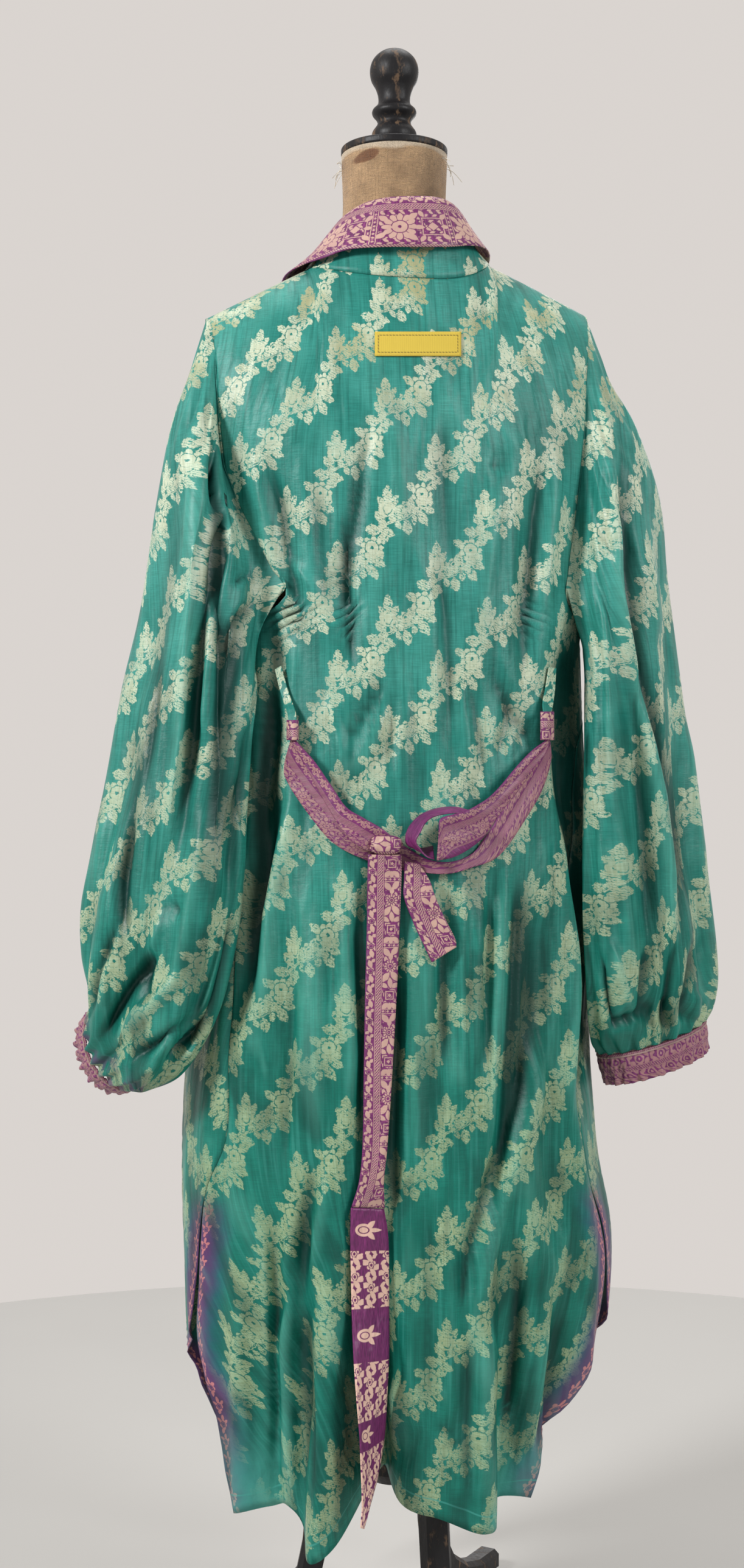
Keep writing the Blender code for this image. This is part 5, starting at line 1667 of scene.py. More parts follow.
def flowers(x, y):
    """How far inside the green cloth's woven flowers, stems and leaves."""
    rough = split(noise_colour(spot_at(x, y), FLOWER_NOISE, 2.0, FLOWER_ROUGH))
    x, y = shaken(x, rough[0], FLOWER_SHAKE), shaken(y, rough[1], FLOWER_SHAKE)
    rose_x, rose_y = tile(x, y, (0, 0), REPEAT)
    near_rose = spot_at(rose_x, rose_y)
    leaves = spray(near_rose, ROSE_LEAVES)
    stem_x, stem_y = tile(x, y, STEM_MIDDLE, REPEAT)
    leaves = spray(spot_at(stem_x, stem_y), STEM_LEAVES, leaves)
    slant, period, line = VEINS
    veins = stripes(x * slant + y, period) - line
    steep, first = VEIN_EDGE
    leaves = least(leaves, veins * steep + first, rough[2] * LEAF_BREAKS[0] - LEAF_BREAKS[1])
    body = least(oval(near_rose, *BUD), abs(oval(near_rose, *BUD_DROP)) - PETAL_GAP)
    slope, bend = STEM_LINE
    line = stem_x * slope + stem_x * stem_x * stem_x * bend
    stem = abs(abs(stem_y - line) - STEM_HALF) * -1.0 + STEM_THREAD
    stem = least(stem, stem_x + STEM_ENDS[0], STEM_ENDS[1] - stem_x)
    small = rose(rose_x + SMALL_ROSE_BEFORE[0], rose_y + SMALL_ROSE_BEFORE[1], *SMALL_ROSE)
    return largest(rose(rose_x, rose_y, *BIG_ROSE), small, leaves, body, stem)


def band(s, t, floral, rope, broad):
    """How far inside the cream pattern of a purple band: s runs along it and t across it."""
    rough = noise(spot_at(s, t), BROCADE_NOISE, 1.0)
    s, t = shaken(s, rough, BAND_SHAKE[0]), shaken(t, rough, BAND_SHAKE[1])
    small_s = wrapped(s, FLORAL_PERIOD)
    small = spot_at(small_s, t - floral / 2)
    leaves = spray(small, FLORAL_LEAVES)
    radius, wave, petals, ring = FLORAL_ROSE
    bud = rose(small_s, t - floral / 2, floral * radius, floral * wave, petals, floral * ring)
    first = least(largest(leaves, bud), t - FLORAL_MARGIN, floral - FLORAL_MARGIN - t)
    slant, period, half = ROPE_HATCH
    hatch = half - stripes(s + t * slant, period)
    rope_line = least(hatch, t - floral - ROPE_MARGIN, floral + rope - ROPE_MARGIN - t)
    rails = RAIL_HALF - least(abs(t - floral - RAIL_IN), abs(t - floral - rope + RAIL_IN))
    low = floral + rope
    big_s = wrapped(s, PANEL_PERIOD)
    large = spot_at(big_s, t - low - broad / 2)
    scale = broad / PANEL_CHARTED
    scrolls = spray(large, [(row[0], row[1] * scale, *row[2:]) for row in PANEL_LEAVES])
    radius, wave, petals, ring = PANEL_ROSE
    flower = rose(big_s + PANEL_ROSE_BEFORE, t - low - broad / 2, radius * scale, wave * scale,
                  petals, ring * scale)
    frame_x = abs(big_s - FRAME_AFTER)
    square = largest(frame_x, abs(t - low - broad / 2)) - FRAME_HALF * scale
    square = abs(square) * -1.0 + FRAME_LINE
    diamond = DIAMOND_HALF * scale - frame_x - abs(t - low - broad / 2)
    bars = abs(stripes(s + PANEL_PERIOD / 2, PANEL_PERIOD) - BAR_APART) * -1.0 + BAR_LINE
    gems = GEM_HALF - stripes(s + PANEL_PERIOD / 2, PANEL_PERIOD) - stripes(t, GEM_PERIOD)
    wide = largest(scrolls, flower, square, diamond, bars, gems)
    fill_s, fill_t = tile(s, t, *FILLER_TILE)
    filler = spot_at(fill_s, fill_t)
    filler = largest(*[leaf(filler, *row) for row in FILLER_LEAVES])
    wide = largest(wide, least(filler, wide * -1.0 - FILLER_APART))
    wide = least(wide, t - low - PANEL_MARGIN, low + broad - t)
    half, period, start, end = EDGE_HATCH
    edge = least(half - stripes(s - t, period), t - low - broad - start, low + broad + end - t)
    return largest(first, rope_line, rails, wide, edge)


def look(name, roughness, sheen=0.0):
    """A new material, and its shader to be fed."""
    made = bpy.data.materials.new(name)
    made.use_nodes = True
    LOOK.append(made.node_tree)
    shader = made.node_tree.nodes["Principled BSDF"]
    shader.inputs["Roughness"].default_value = roughness
    if sheen:
        shader.inputs["Sheen Weight"].default_value = sheen
        shader.inputs["Sheen Roughness"].default_value = 0.4
        shader.inputs["Sheen Tint"].default_value = (1, 1, 1, 1)
    return made, shader


def dress(shader, colour, height, distance):
    """Feeds a shader its colour and its relief: distance is how many metres high 1 is."""
    feed(shader.inputs["Base Color"], colour)
    made = add_node("ShaderNodeBump")
    made.inputs["Distance"].default_value = distance
    feed(made.inputs["Height"], height)
    feed(shader.inputs["Normal"], Value(made.outputs[0]))


def object_place():
    """The place itself, in metres from the middle of the whole."""
    return Value(add_node("ShaderNodeTexCoord").outputs["Object"])


def height_of_place():
    return split(object_place())[2]


# Colours, as linear red, green and blue, and opacity.
TEAL = (0.026, 0.250, 0.205, 1)
TEAL_LIGHT = (0.060, 0.350, 0.295, 1)
# TEAL_LOW and TEAL_PALE_LOW are the lower robe's greens: partly its darker dye, partly painted shade, as
# the light falls from above.
TEAL_LOW = (0.003, 0.158, 0.114, 1)
TEAL_PALE_LOW = (0.012, 0.235, 0.175, 1)
TEAL_DARK = (0.003, 0.085, 0.066, 1)
TEAL_SHADE = (0.001, 0.026, 0.021, 1)
TEAL_LIT = (0.16, 0.52, 0.42, 1)
# GOLD and GOLD_DARK are the upper robe's gold, pale with a painted glint; the low golds are duller, partly
# the thread's own olive and partly painted shade.
GOLD = (0.71, 0.78, 0.60, 1)
GOLD_DARK = (0.45, 0.48, 0.32, 1)
GOLD_LOW = (0.39, 0.52, 0.33, 1)
GOLD_DARK_LOW = (0.22, 0.29, 0.135, 1)
GOLD_WARM = (0.46, 0.38, 0.15, 1)
PURPLE = (0.240, 0.030, 0.165, 1)
PURPLE_DARK = (0.090, 0.012, 0.072, 1)
CREAM = (0.60, 0.385, 0.305, 1)
CREAM_MUTED = (0.42, 0.225, 0.205, 1)
CREAM_BRIGHT = (0.82, 0.53, 0.43, 1)
DYE_PURPLE = (0.110, 0.035, 0.130, 1)
DYE_BLUE = (0.030, 0.080, 0.160, 1)
ROSE_PINK = (0.60, 0.22, 0.22, 1)
YELLOW = (0.80, 0.60, 0.08, 1)
YELLOW_DARK = (0.58, 0.40, 0.035, 1)
STITCH_BROWN = (0.20, 0.13, 0.02, 1)
LINEN = (0.60, 0.37, 0.19, 1)
LINEN_LIGHT = (0.64, 0.46, 0.28, 1)
LINEN_STAIN = (0.27, 0.15, 0.07, 1)
LINEN_DARK = (0.24, 0.145, 0.075, 1)
LINEN_FRAYED = (0.72, 0.60, 0.45, 1)
RUST_BROWN = (0.16, 0.055, 0.022, 1)
BLACK_PAINT = (0.012, 0.011, 0.012, 1)
BARE_WOOD = (0.17, 0.105, 0.062, 1)
CORD_CREAM = (0.40, 0.25, 0.24, 1)
THREAD_PALE = (0.86, 0.80, 0.68, 1)


# Noises in the cloth: how fine across and down it, detail, roughness and distortion.
WEFT = (0.05, 1.1, 2.0, 0.7)
WARP = (0.9, 0.03, 1.0, 0.6)
WEFT_SHARE = 0.6
STREAKS = (0.26, 0.010, 1.0)
CRUMPLES = (0.030, 0.009, 2.0, 0.45, 0.4)
SLUBS = (0.9, 0.10, 2.0, 0.7)
TAIL_SLUBS = (0.1, 0.9, 2.0, 0.7)
LINEN_ROUND = (0.9, 0.08, 2.0, 0.7)
LINEN_DOWN = (0.08, 0.9, 2.0, 0.7)
# Heights over which the silk goes from its low to its high tones, which are partly its dye and
# partly painted shade low down and a painted glint on the gold high up, and over which it has aged.
LOW_TO_HIGH = (0.50, 1.22)
AGED = (1.27, 1.40)
AGED_STRENGTH = 0.8
# Where woven patterns begin and are full, from their outline: in the green silk and the purple.
GREEN_WOVEN = (-0.25, 0.35)
PURPLE_WOVEN = (-0.2, 0.3)
# Dye that ran at the slits: how ragged it is, then where each colour ends and is full, in mm
# from the edge, with its strength, and how far above and below the slit's top it begins.
DYE_RAGGED = 16
BLUE_ENDS = (54, 16, 0.80)
PURPLE_ENDS = (36, 8, 0.92)
RAGGED_NOISE = 0.06
DYE_TOP = (0.01, 0.05)
# Dyed flowers along the slit's edge: distance from it, step, size and their leaves.
BLOOM_IN = 7.0
BLOOM_STEP = 18
BLOOM_SHAKE = 6
BLOOM = (3.6, 1.2, 5, 2.4)
BLOOM_DYE = (-0.2, 0.3, 0.85)
BLOOM_LEAVES = (
    (0.5, 6.2, 80, 3.6, 1.8),
    (-1.2, -6.0, 250, 3.6, 1.8),
    (4.6, 3.4, 30, 3.0, 1.6),
    (-3.8, 3.0, 150, 2.6, 1.5),
)
# The cloth is paler near the hem and the slits: over how many mm from each, where it is worn,
# and how much.
SHEER_HEM = (110, 20)
SHEER_SLIT = (150, 30)
SHEER_WORN = (0.30, 0.60)
SHEER = 0.85
# The hem's stitching: mm above the edge, then where its line ends and is full, and how much.
STITCH_UP = 18.5
STITCH = (1.3, 0.4, 0.6)
# Dye on a sleeve: mm from the cuff, and from its outer edge no further from the cuff than
# this, with the patches that each shows in and its strength.
PATCH_NOISE = 0.035
CUFF_DYE = (46, 8)
CUFF_PATCHES = (0.46, 0.62)
CUFF_STRENGTH = 0.8
EDGE_DYE = (14, 3)
EDGE_DYE_UP = (190, 120)
EDGE_PATCHES = (0.40, 0.60)
EDGE_STRENGTH = 0.85
# Painted shade and highlights: of a noise, or of a fold's depth in mm, where each begins and
# is full, and how much.
CRUMPLE_PAINTED_SHADE = (0.50, 0.30, 0.50)
CRUMPLE_PAINTED_HIGHLIGHT = (0.54, 0.74, 0.22)
TROUGH_PAINTED_SHADE = (0.5, -10.0, 0.85)
RIDGE_PAINTED_HIGHLIGHT = (1.5, 10.0, 0.22)
# The painted shade and highlights of crumples show fully low on the robe and less high on it:
# the two shares of the height, and how much at each.
LOWER = (1.0, 0.2, 0.45, 1.0)
# Noises of the green silk's fading and of its finest relief: scale, detail and roughness.
WORN_NOISE = (0.012, 3.0, 0.55)
FINE_NOISE = (0.13, 2.0, 0.6)
# Where a noise begins and is full in a tone, then the tone's two ends where they aren't 0
# and 1: the ground's two greens, its slubs and streaks, the gold's
# threads and fading, the cream's fading and the two purples.
GREENS = (0.36, 0.68)
DARK_SLUBS = (0.32, 0.68, 0.0, 0.48)
DARK_STREAKS = (0.50, 0.72, 0.0, 0.38)
LIGHT_STREAKS = (0.48, 0.28, 0.0, 0.26)
GOLD_THREADS = (0.35, 0.65, 0.1, 0.8)
GOLD_AGED = (0.42, 0.62)
GOLD_WORN = (0.25, 0.75, 1.0, 0.72)
CREAM_WORN = (0.2, 0.8, 1.0, 0.75)
PURPLES = (0.30, 0.70)
TAIL_PURPLES = (0.25, 0.75)
# Shares of the relief: the green silk's crumples, finest relief and slubs.
GREEN_HEIGHTS = (2.1, 0.14, 0.06)
# The purple silks: the noise of the fading, the crumples' noise, and the shares of the relief
# that crumples and slubs take. The cream is this strong on the cuffs.
FADE_NOISE = 0.03
BELT_CRUMPLES = (0.05, 0.05)
BELT_HEIGHTS = (1.2, 0.12)
CUFF_CRUMPLES = 0.10
CUFF_HEIGHT_SHARE = 0.9
CUFF_CREAM = 0.75
TAIL_CRUMPLES = (0.05, 0.09)
TAIL_HEIGHTS = (1.4, 0.1)
SILK_GLOSS = 0.28
GREEN_ROUGHNESS = 0.44
GOLD_SMOOTHER = 0.05
# The linen: its radius in mm, which turns an angle into a length round it, the threads' steps
# round and down, its stains and its relief.
LINEN_RADIUS = 57.0
LINEN_THREADS = (1.2, 1.3)
STAIN_NOISE = (26.0, 4.0, 0.6)
STAINED = (0.35, 0.70)
COARSE_DARK = (0.85, 1.2, 0.6)
WEAVE_LIGHT = (0.2, 1.0, 0.0, 0.45)
WEAVE_HEIGHT = 0.6
STAIN_HEIGHT = 2.0
# Its frayed upper edge: how ragged, the heights it lies between, and how much.
FRAY_RAGGED = 0.012
FRAYED = (1.5945, 1.5985, 0.8)
# Its rust mark: mm to the left of the form's axis, then height, turn, half length and half
# width, how uneven it is, and how far behind the form's axis it is full.
RUST_LEFT = 40
RUST = (1583, 20, 12, 6)
RUST_SHAKE = 4.0
RUST_FADE = 0.01
RUST_STRENGTH = 0.8
# The wood's scuffs: how they are stretched, their noise, where the paint has worn off and how
# much, and the roughness over the scuffs.
SCUFF_STRETCH = (1, 1, 0.4)
SCUFF_NOISE = (90.0, 4.0, 0.7)
WOOD_NOISE = (30.0, 3.0, 0.6)
SCUFFED = (0.55, 0.66)
WOOD_WORN = (0.42, 0.60)
BARE_STRENGTH = 0.85
WOOD_ROUGHNESS = (0.4, 0.7, 0.42, 0.62)
WOOD_GLOSS = 0.3
# The label's threads across and down, and the tones between them.
LABEL_THREADS = (0.9, 0.7)
LABEL_TONES = (0.1, 0.7)
# The label's stitches: mm inside its edge, half length, step and half width, then where they
# begin and are full, and how much.
LABEL_STITCH_IN = 3.2
LABEL_STITCH = (1.3, 3.4, 0.7)
LABEL_STITCHES = (-0.1, 0.3, 0.85)
# How many metres high a relief of 1 is.
GREEN_RELIEF = 0.0034
LINEN_RELIEF = 0.0012
PURPLE_RELIEF = 0.0022
FINE_RELIEF = 0.0006


def slit_dye(colour, v, worn):
    """Dye along the slits, dyed flowers at their edge, and the paler cloth and stitching below."""
    d, h = coordinates("border")
    ragged = noise(spot_at(d, v), RAGGED_NOISE, 2.0)
    low = soft(height_of_place(), SLIT_TOP + DYE_TOP[0], SLIT_TOP - DYE_TOP[1])
    reach = shaken(d, ragged, DYE_RAGGED)
    colour = mix(tone(reach, *BLUE_ENDS, low), colour, DYE_BLUE)
    colour = mix(tone(reach, *PURPLE_ENDS, low), colour, DYE_PURPLE)
    bloom_v = wrapped(v + ragged * BLOOM_SHAKE, BLOOM_STEP)
    blooms = rose(d - BLOOM_IN, bloom_v, *BLOOM)
    near = spot_at(d - BLOOM_IN, bloom_v)
    sprigs = largest(*[leaf(near, *row) for row in BLOOM_LEAVES])
    colour = mix(tone(largest(blooms, sprigs), *BLOOM_DYE, low), colour, ROSE_PINK)
    sheer = soft(h, *SHEER_HEM) * soft(d, *SHEER_SLIT) * soft(worn, *SHEER_WORN)
    colour = mix(sheer * SHEER, colour, TEAL_LIGHT)
    return mix(tone(abs(h - STITCH_UP), *STITCH), colour, TEAL_LIGHT)


def sleeve_dye(colour, u, v):
    """Purple dye in patches at a sleeve's cuff and low on its outer edge."""
    d, h = coordinates("border")
    patches = noise(spot_at(u, v), PATCH_NOISE, 2.0)
    near_cuff = soft(d, *CUFF_DYE) * soft(patches, *CUFF_PATCHES)
    colour = mix(near_cuff * CUFF_STRENGTH, colour, DYE_PURPLE)
    edge = soft(h, *EDGE_DYE) * soft(d, *EDGE_DYE_UP) * soft(patches, *EDGE_PATCHES)
    return mix(edge * EDGE_STRENGTH, colour, DYE_PURPLE)


def paint_fold_shade_and_light(colour, high, crumple):
    """Painted shade in crumples and troughs, more so low down, and painted highlights on crests and
    ridges.
    """
    lower = soft(high, *LOWER)
    colour = mix(tone(crumple, *CRUMPLE_PAINTED_SHADE, lower), colour, TEAL_SHADE)
    colour = mix(tone(crumple, *CRUMPLE_PAINTED_HIGHLIGHT, lower), colour, TEAL_LIT)
    fold = coordinates("fold")[0]
    colour = mix(tone(fold, *TROUGH_PAINTED_SHADE), colour, TEAL_SHADE)
    return mix(tone(fold, *RIDGE_PAINTED_HIGHLIGHT), colour, TEAL_LIT)


def green_silk(name, kind):
    """Teal silk with woven flowers. kind: slit, sleeve, hung (painted fold shade and highlights alone) or
    plain.
    """
    made, shader = look(name, 0.42)
    u, v = coordinates("cloth")
    cloth = spot_at(u, v)
    weft, warp = grain(cloth, *WEFT), grain(cloth, *WARP)
    slub = weft * WEFT_SHARE + warp * (1 - WEFT_SHARE)
    worn = noise(cloth, *WORN_NOISE)
    # Up the robe the ground and the gold go from their low to their high tones: partly dye, partly painted
    # shade low down and a painted glint on the gold high up.
    high = soft(height_of_place(), *LOW_TO_HIGH)
    shared = soft(worn, *GREENS)
    ground = mix(shared, mix(high, TEAL_LOW, TEAL), mix(high, TEAL_PALE_LOW, TEAL_LIGHT))
    ground = mix(soft(slub, *DARK_SLUBS), ground, TEAL_DARK)
    streak = grain(cloth, *STREAKS)
    ground = mix(soft(streak, *DARK_STREAKS), ground, TEAL_DARK)
    ground = mix(soft(streak, *LIGHT_STREAKS), ground, TEAL_LIGHT)
    inside = flowers(u - ROSE_MIDDLE[0], v - ROSE_MIDDLE[1])
    darker = soft(slub, *GOLD_THREADS)
    gold = mix(darker, mix(high, GOLD_LOW, GOLD), mix(high, GOLD_DARK_LOW, GOLD_DARK))
    aged = soft(height_of_place(), *AGED) * soft(worn, *GOLD_AGED)
    gold = mix(aged * AGED_STRENGTH, gold, GOLD_WARM)
    woven = soft(inside, *GREEN_WOVEN)
    colour = mix(woven * soft(worn, *GOLD_WORN), ground, gold)
    if kind == "slit":
        colour = slit_dye(colour, v, worn)
    if kind == "sleeve":
        colour = sleeve_dye(colour, u, v)
    crumple = grain(cloth, *CRUMPLES)
    # All but the plain silk get painted shade in crumples and fold troughs, and painted highlights on
    # ridges.
    if kind != "plain":
        colour = paint_fold_shade_and_light(colour, high, crumple)
    shader.inputs["Specular IOR Level"].default_value = SILK_GLOSS
    feed(shader.inputs["Roughness"], woven * -GOLD_SMOOTHER + GREEN_ROUGHNESS)
    fine = noise(cloth, *FINE_NOISE)
    large, small, least_part = GREEN_HEIGHTS
    dress(shader, colour, crumple * large + fine * small + slub * least_part, GREEN_RELIEF)
    return made


def purple_ground(s, t, slubs, low, high):
    """Purple silk that is darker along its slubs, and the slubs."""
    slub = grain(spot_at(s, t), *slubs)
    return mix(soft(slub, low, high), PURPLE, PURPLE_DARK), slub


def purple_silk(name, bands, fine=1.0, pale=CREAM):
    """Purple brocade: bands gives the widths of its floral band, rope line and wide panel."""
    made, shader = look(name, 0.48)
    s, t = coordinates("border")
    inside = band(s * fine, t * fine, *bands)
    ground, slub = purple_ground(s, t, SLUBS, *PURPLES)
    woven = soft(inside, *PURPLE_WOVEN)
    faded = noise(spot_at(s, t), FADE_NOISE, 2.0)
    colour = mix(woven * soft(faded, *CREAM_WORN), ground, pale)
    crumple = grain(spot_at(s, t), *BELT_CRUMPLES)
    dress(shader, colour, crumple * BELT_HEIGHTS[0] + slub * BELT_HEIGHTS[1], PURPLE_RELIEF)
    return made


def cuff_silk(name):
    """The cuffs' brocade: scrolls above and below a hatched band, and a hatched upper edge."""
    made, shader = look(name, 0.48)
    s, t = coordinates("border")
    rough = noise(spot_at(s, t), BROCADE_NOISE, 1.0)
    x, y = shaken(s, rough, CUFF_SHAKE[0]), shaken(t, rough, CUFF_SHAKE[1])
    tile_x, tile_y = tile(x, y, *CUFF_TILE)
    near = spot_at(tile_x, tile_y)
    far, _ = around(tile_x, tile_y)
    radius, half, middle = CUFF_RING
    scroll = abs(far - radius) * -1.0 + half
    inside = spray(near, CUFF_LEAVES, scroll)
    inside = largest(inside, middle - far)
    half, slant, period = CUFF_HATCH
    at, reach, rails, line = CUFF_BAND
    hatch = least(half - stripes(x + y * slant, period), reach - abs(y - at))
    inside = largest(least(inside, abs(y - at) - rails), hatch, line - abs(abs(y - at) - rails))
    half, period, end, start = CUFF_EDGE
    rim = least(half - stripes(x - y, period), end - t)
    inside = largest(least(inside, t - start), rim)
    ground, _ = purple_ground(s, t, SLUBS, *PURPLES)
    woven = soft(inside, *PURPLE_WOVEN)
    colour = mix(woven * CUFF_CREAM, ground, CREAM_MUTED)
    dress(shader, colour, noise(spot_at(s, t), CUFF_CRUMPLES, 2.0) * CUFF_HEIGHT_SHARE, PURPLE_RELIEF)
    return made


def tail_silk(name, clusters):
    """Plain purple silk. clusters are the places down it of dense flowers: middle, half length."""
    made, shader = look(name, 0.42)
    s, t = coordinates("border")
    colour, slub = purple_ground(s, t, TAIL_SLUBS, *TAIL_PURPLES)
    if clusters:
        rough = noise(spot_at(s, t), BROCADE_NOISE, 1.0)
        x, y = shaken(s, rough, TAIL_SHAKE), shaken(t, rough, TAIL_SHAKE)
        tile_x, tile_y = tile(x, y, *TAIL_TILE)
        near = spot_at(tile_x, tile_y)
        dense = spray(near, TAIL_LEAVES, rose(tile_x, tile_y, *SMALL_ROSE))
        there = largest(*[half - abs(s - middle) for middle, half in clusters])
        inside = least(dense, there)
        for middle in TAIL_BUTIS:
            spot = spot_at(s - middle, t - TAIL_MIDDLE)
            bud = largest(oval(spot, *BUTI), *[leaf(spot, *row) for row in BUTI_LEAVES])
            bud = least(bud, abs(oval(spot, *BUTI_RING)) - BUTI_LINE)
            inside = largest(inside, bud)
        colour = mix(soft(inside, *PURPLE_WOVEN), colour, CREAM_BRIGHT)
    crumple = grain(spot_at(s, t), *TAIL_CRUMPLES)
    dress(shader, colour, crumple * TAIL_HEIGHTS[0] + slub * TAIL_HEIGHTS[1], PURPLE_RELIEF)
    return made


def label_weave(name):
    """Yellow tape with a stitched border and no lettering."""
    made, shader = look(name, 0.7)
    u, v = coordinates("cloth")
    weave = stripes(u, LABEL_THREADS[0]) + stripes(v, LABEL_THREADS[1])
    edge = largest(abs(u) - LABEL_HALF[0], abs(v) - LABEL_HALF[1])
    colour = mix(soft(weave, *LABEL_TONES), YELLOW_DARK, YELLOW)
    length, step, half = LABEL_STITCH
    stitches = least(length - stripes(u + v, step), half - abs(edge + LABEL_STITCH_IN))
    colour = mix(tone(stitches, *LABEL_STITCHES), colour, STITCH_BROWN)
    dress(shader, colour, weave * 0.5, FINE_RELIEF)
    return made


def linen(name):
    """Coarse old linen with stains, a rust mark and a frayed upper edge."""
    made, shader = look(name, 0.95, 0.2)
    here = object_place()
    x, y, z = split(here)
    turn = math("ARCTAN2", y, x) * LINEN_RADIUS
    weave = stripes(turn, LINEN_THREADS[0]) + stripes(z * 1000, LINEN_THREADS[1])
    stain = noise(here, *STAIN_NOISE)
    colour = mix(soft(stain, *STAINED), LINEN, LINEN_STAIN)
    coarse = grain(spot_at(turn, z * 1000), *LINEN_ROUND)
    coarse = coarse + grain(spot_at(turn, z * 1000), *LINEN_DOWN)
    colour = mix(tone(coarse, *COARSE_DARK), colour, LINEN_DARK)
    colour = mix(soft(weave, *WEAVE_LIGHT), colour, LINEN_LIGHT)
    colour = mix(tone(z + stain * FRAY_RAGGED, *FRAYED), colour, LINEN_FRAYED)
    rusty = oval(spot_at(x * 1000, z * 1000), -WHOLE_MIDDLE[0] * 1000 - RUST_LEFT, *RUST)
    axis = -WHOLE_MIDDLE[1]
    rusty = soft(shaken(rusty, stain, RUST_SHAKE), -1.0, 1.0) * soft(y, axis, axis - RUST_FADE)
    colour = mix(rusty * RUST_STRENGTH, colour, RUST_BROWN)
    dress(shader, colour, weave * WEAVE_HEIGHT + stain * STAIN_HEIGHT + coarse, LINEN_RELIEF)
    return made


def worn_wood(name):
    """Black turned wood whose paint has worn off in small scuffs."""
    made, shader = look(name, 0.45)
    shader.inputs["Specular IOR Level"].default_value = WOOD_GLOSS
    here = object_place()
    scuffs = noise(stretched(here, SCUFF_STRETCH), *SCUFF_NOISE)
    worn = noise(here, *WOOD_NOISE)
    bare = soft(scuffs, *SCUFFED) * soft(worn, *WOOD_WORN)
    colour = mix(bare * BARE_STRENGTH, BLACK_PAINT, BARE_WOOD)
    feed(shader.inputs["Roughness"], soft(scuffs, *WOOD_ROUGHNESS))
    dress(shader, colour, scuffs, FINE_RELIEF)
    return made


def plain(name, colour, roughness, shade=0.7, scale=60.0):
    """A colour with a little unevenness."""
    made, shader = look(name, roughness)
    uneven = noise(object_place(), scale, 3.0)
    darker = tuple(shade * part for part in colour[:3]) + (1,)
    feed(shader.inputs["Base Color"], mix(soft(uneven, 0.3, 0.7), colour, darker))
    return made


def hidden_push(grid):
    """Soft creases of the body's hidden sides, in mm."""
    x, y, z = np.moveaxis(grid, -1, 0)
    turn = np.degrees(np.arctan2(x, -y))
    total = np.zeros(x.shape)
    for middle, width, height, reach, deep in HIDDEN_CREASES:
        total += deep * bell(turned_from(middle, turn), width) * bell(z - height, reach)
    return total


def panel_piece(node, grid, edge, coat, sides):
    """A body panel: edge is the column that the pattern's u is counted from, sides its slit edges."""
    rows_up = PANEL_STEPS[0] * FINER
    across, down = run(grid, 1), run(grid, 0)
    if edge is None:
        start = [np.interp(0, np.maximum.accumulate(row), reach) for row, reach in
                 zip(grid[..., 0], across)]
    else:
        start = across[:, edge]
    u = across - np.reshape(start, (-1, 1))
    v = grid[..., 2] * 1000
    v[:rows_up] = SHOULDER_START * 1000 + (down[rows_up] - down)[:rows_up]
    from_edges = [abs(across - across[:, [side]]) for side in sides]
    border = np.stack([np.minimum.reduce(from_edges), down[-1] - down], -1)
    axis = np.array([0, 0, 1]) * grid
    hidden = hidden_push(grid)
    if edge is not None:
        # The fronts lie flat under the collar band.
        hidden *= smooth((np.abs(u) - FLAT_UNDER_BAND[0]) / FLAT_UNDER_BAND[1])
    off = outward(grid, axis)
    fold = pushes(grid, off, BACK_CREASES, hidden) * CREASE_SCALE
    shaped = grid + off * fold[..., None] / 1000
    made = make(f"{node}_cloth", shaped, coat, [node], np.stack([u, v], -1), border,
                fold=fold)
    declare(grid)


def hanging(grid, side):
    """Pattern coordinates of a sleeve in mm: round it at each level, and height."""
    across, behind, z = from_view(grid)
    levels = np.arange(z.min(), z.max(), LEVEL_STEP)
    rows = []
    for level in levels:
        near = np.abs(z - level) < LEVEL_NEAR
        ends = [(part[near].min(), part[near].max()) for part in (across, behind)]
        rows.append([(low + high) / 2 for low, high in ends] + [(high - low) / 2 for low, high in ends])
    padded = np.pad(np.array(rows), ((LEVELS_EVENED // 2,) * 2, (0, 0)), "edge")
    share = np.ones(LEVELS_EVENED) / LEVELS_EVENED
    even = np.array([np.convolve(column, share, "valid") for column in padded.T])
    middle, far, half, deep = [np.interp(z, levels, column) for column in even]
    turn = np.unwrap(np.arctan2(across - middle, far - behind), axis=1)
    turn = np.concatenate([turn, turn[:, :1] + 2 * np.pi * np.sign(turn[:, -1:] - turn[:, :1])], 1)
    turn -= 2 * np.pi * np.round(turn[:, [grid.shape[1] // 2]] / (2 * np.pi))
    u = turn * joined(np.maximum((half + deep) / 2, SLEEVE_RADIUS)) * 1000
    v = joined(z) * 1000
    columns, heights = looked_at(grid)
    column, row = SLEEVE_ROSES[side]
    hidden = np.abs(turn[:, :-1]) > ROSE_TURN
    near = np.where(hidden, np.inf, np.hypot(columns - column, heights - row))
    spot = np.unravel_index(np.argmin(near), near.shape)
    return u - u[spot] + ROSE_MIDDLE[0], v - v[spot] + ROSE_MIDDLE[1]


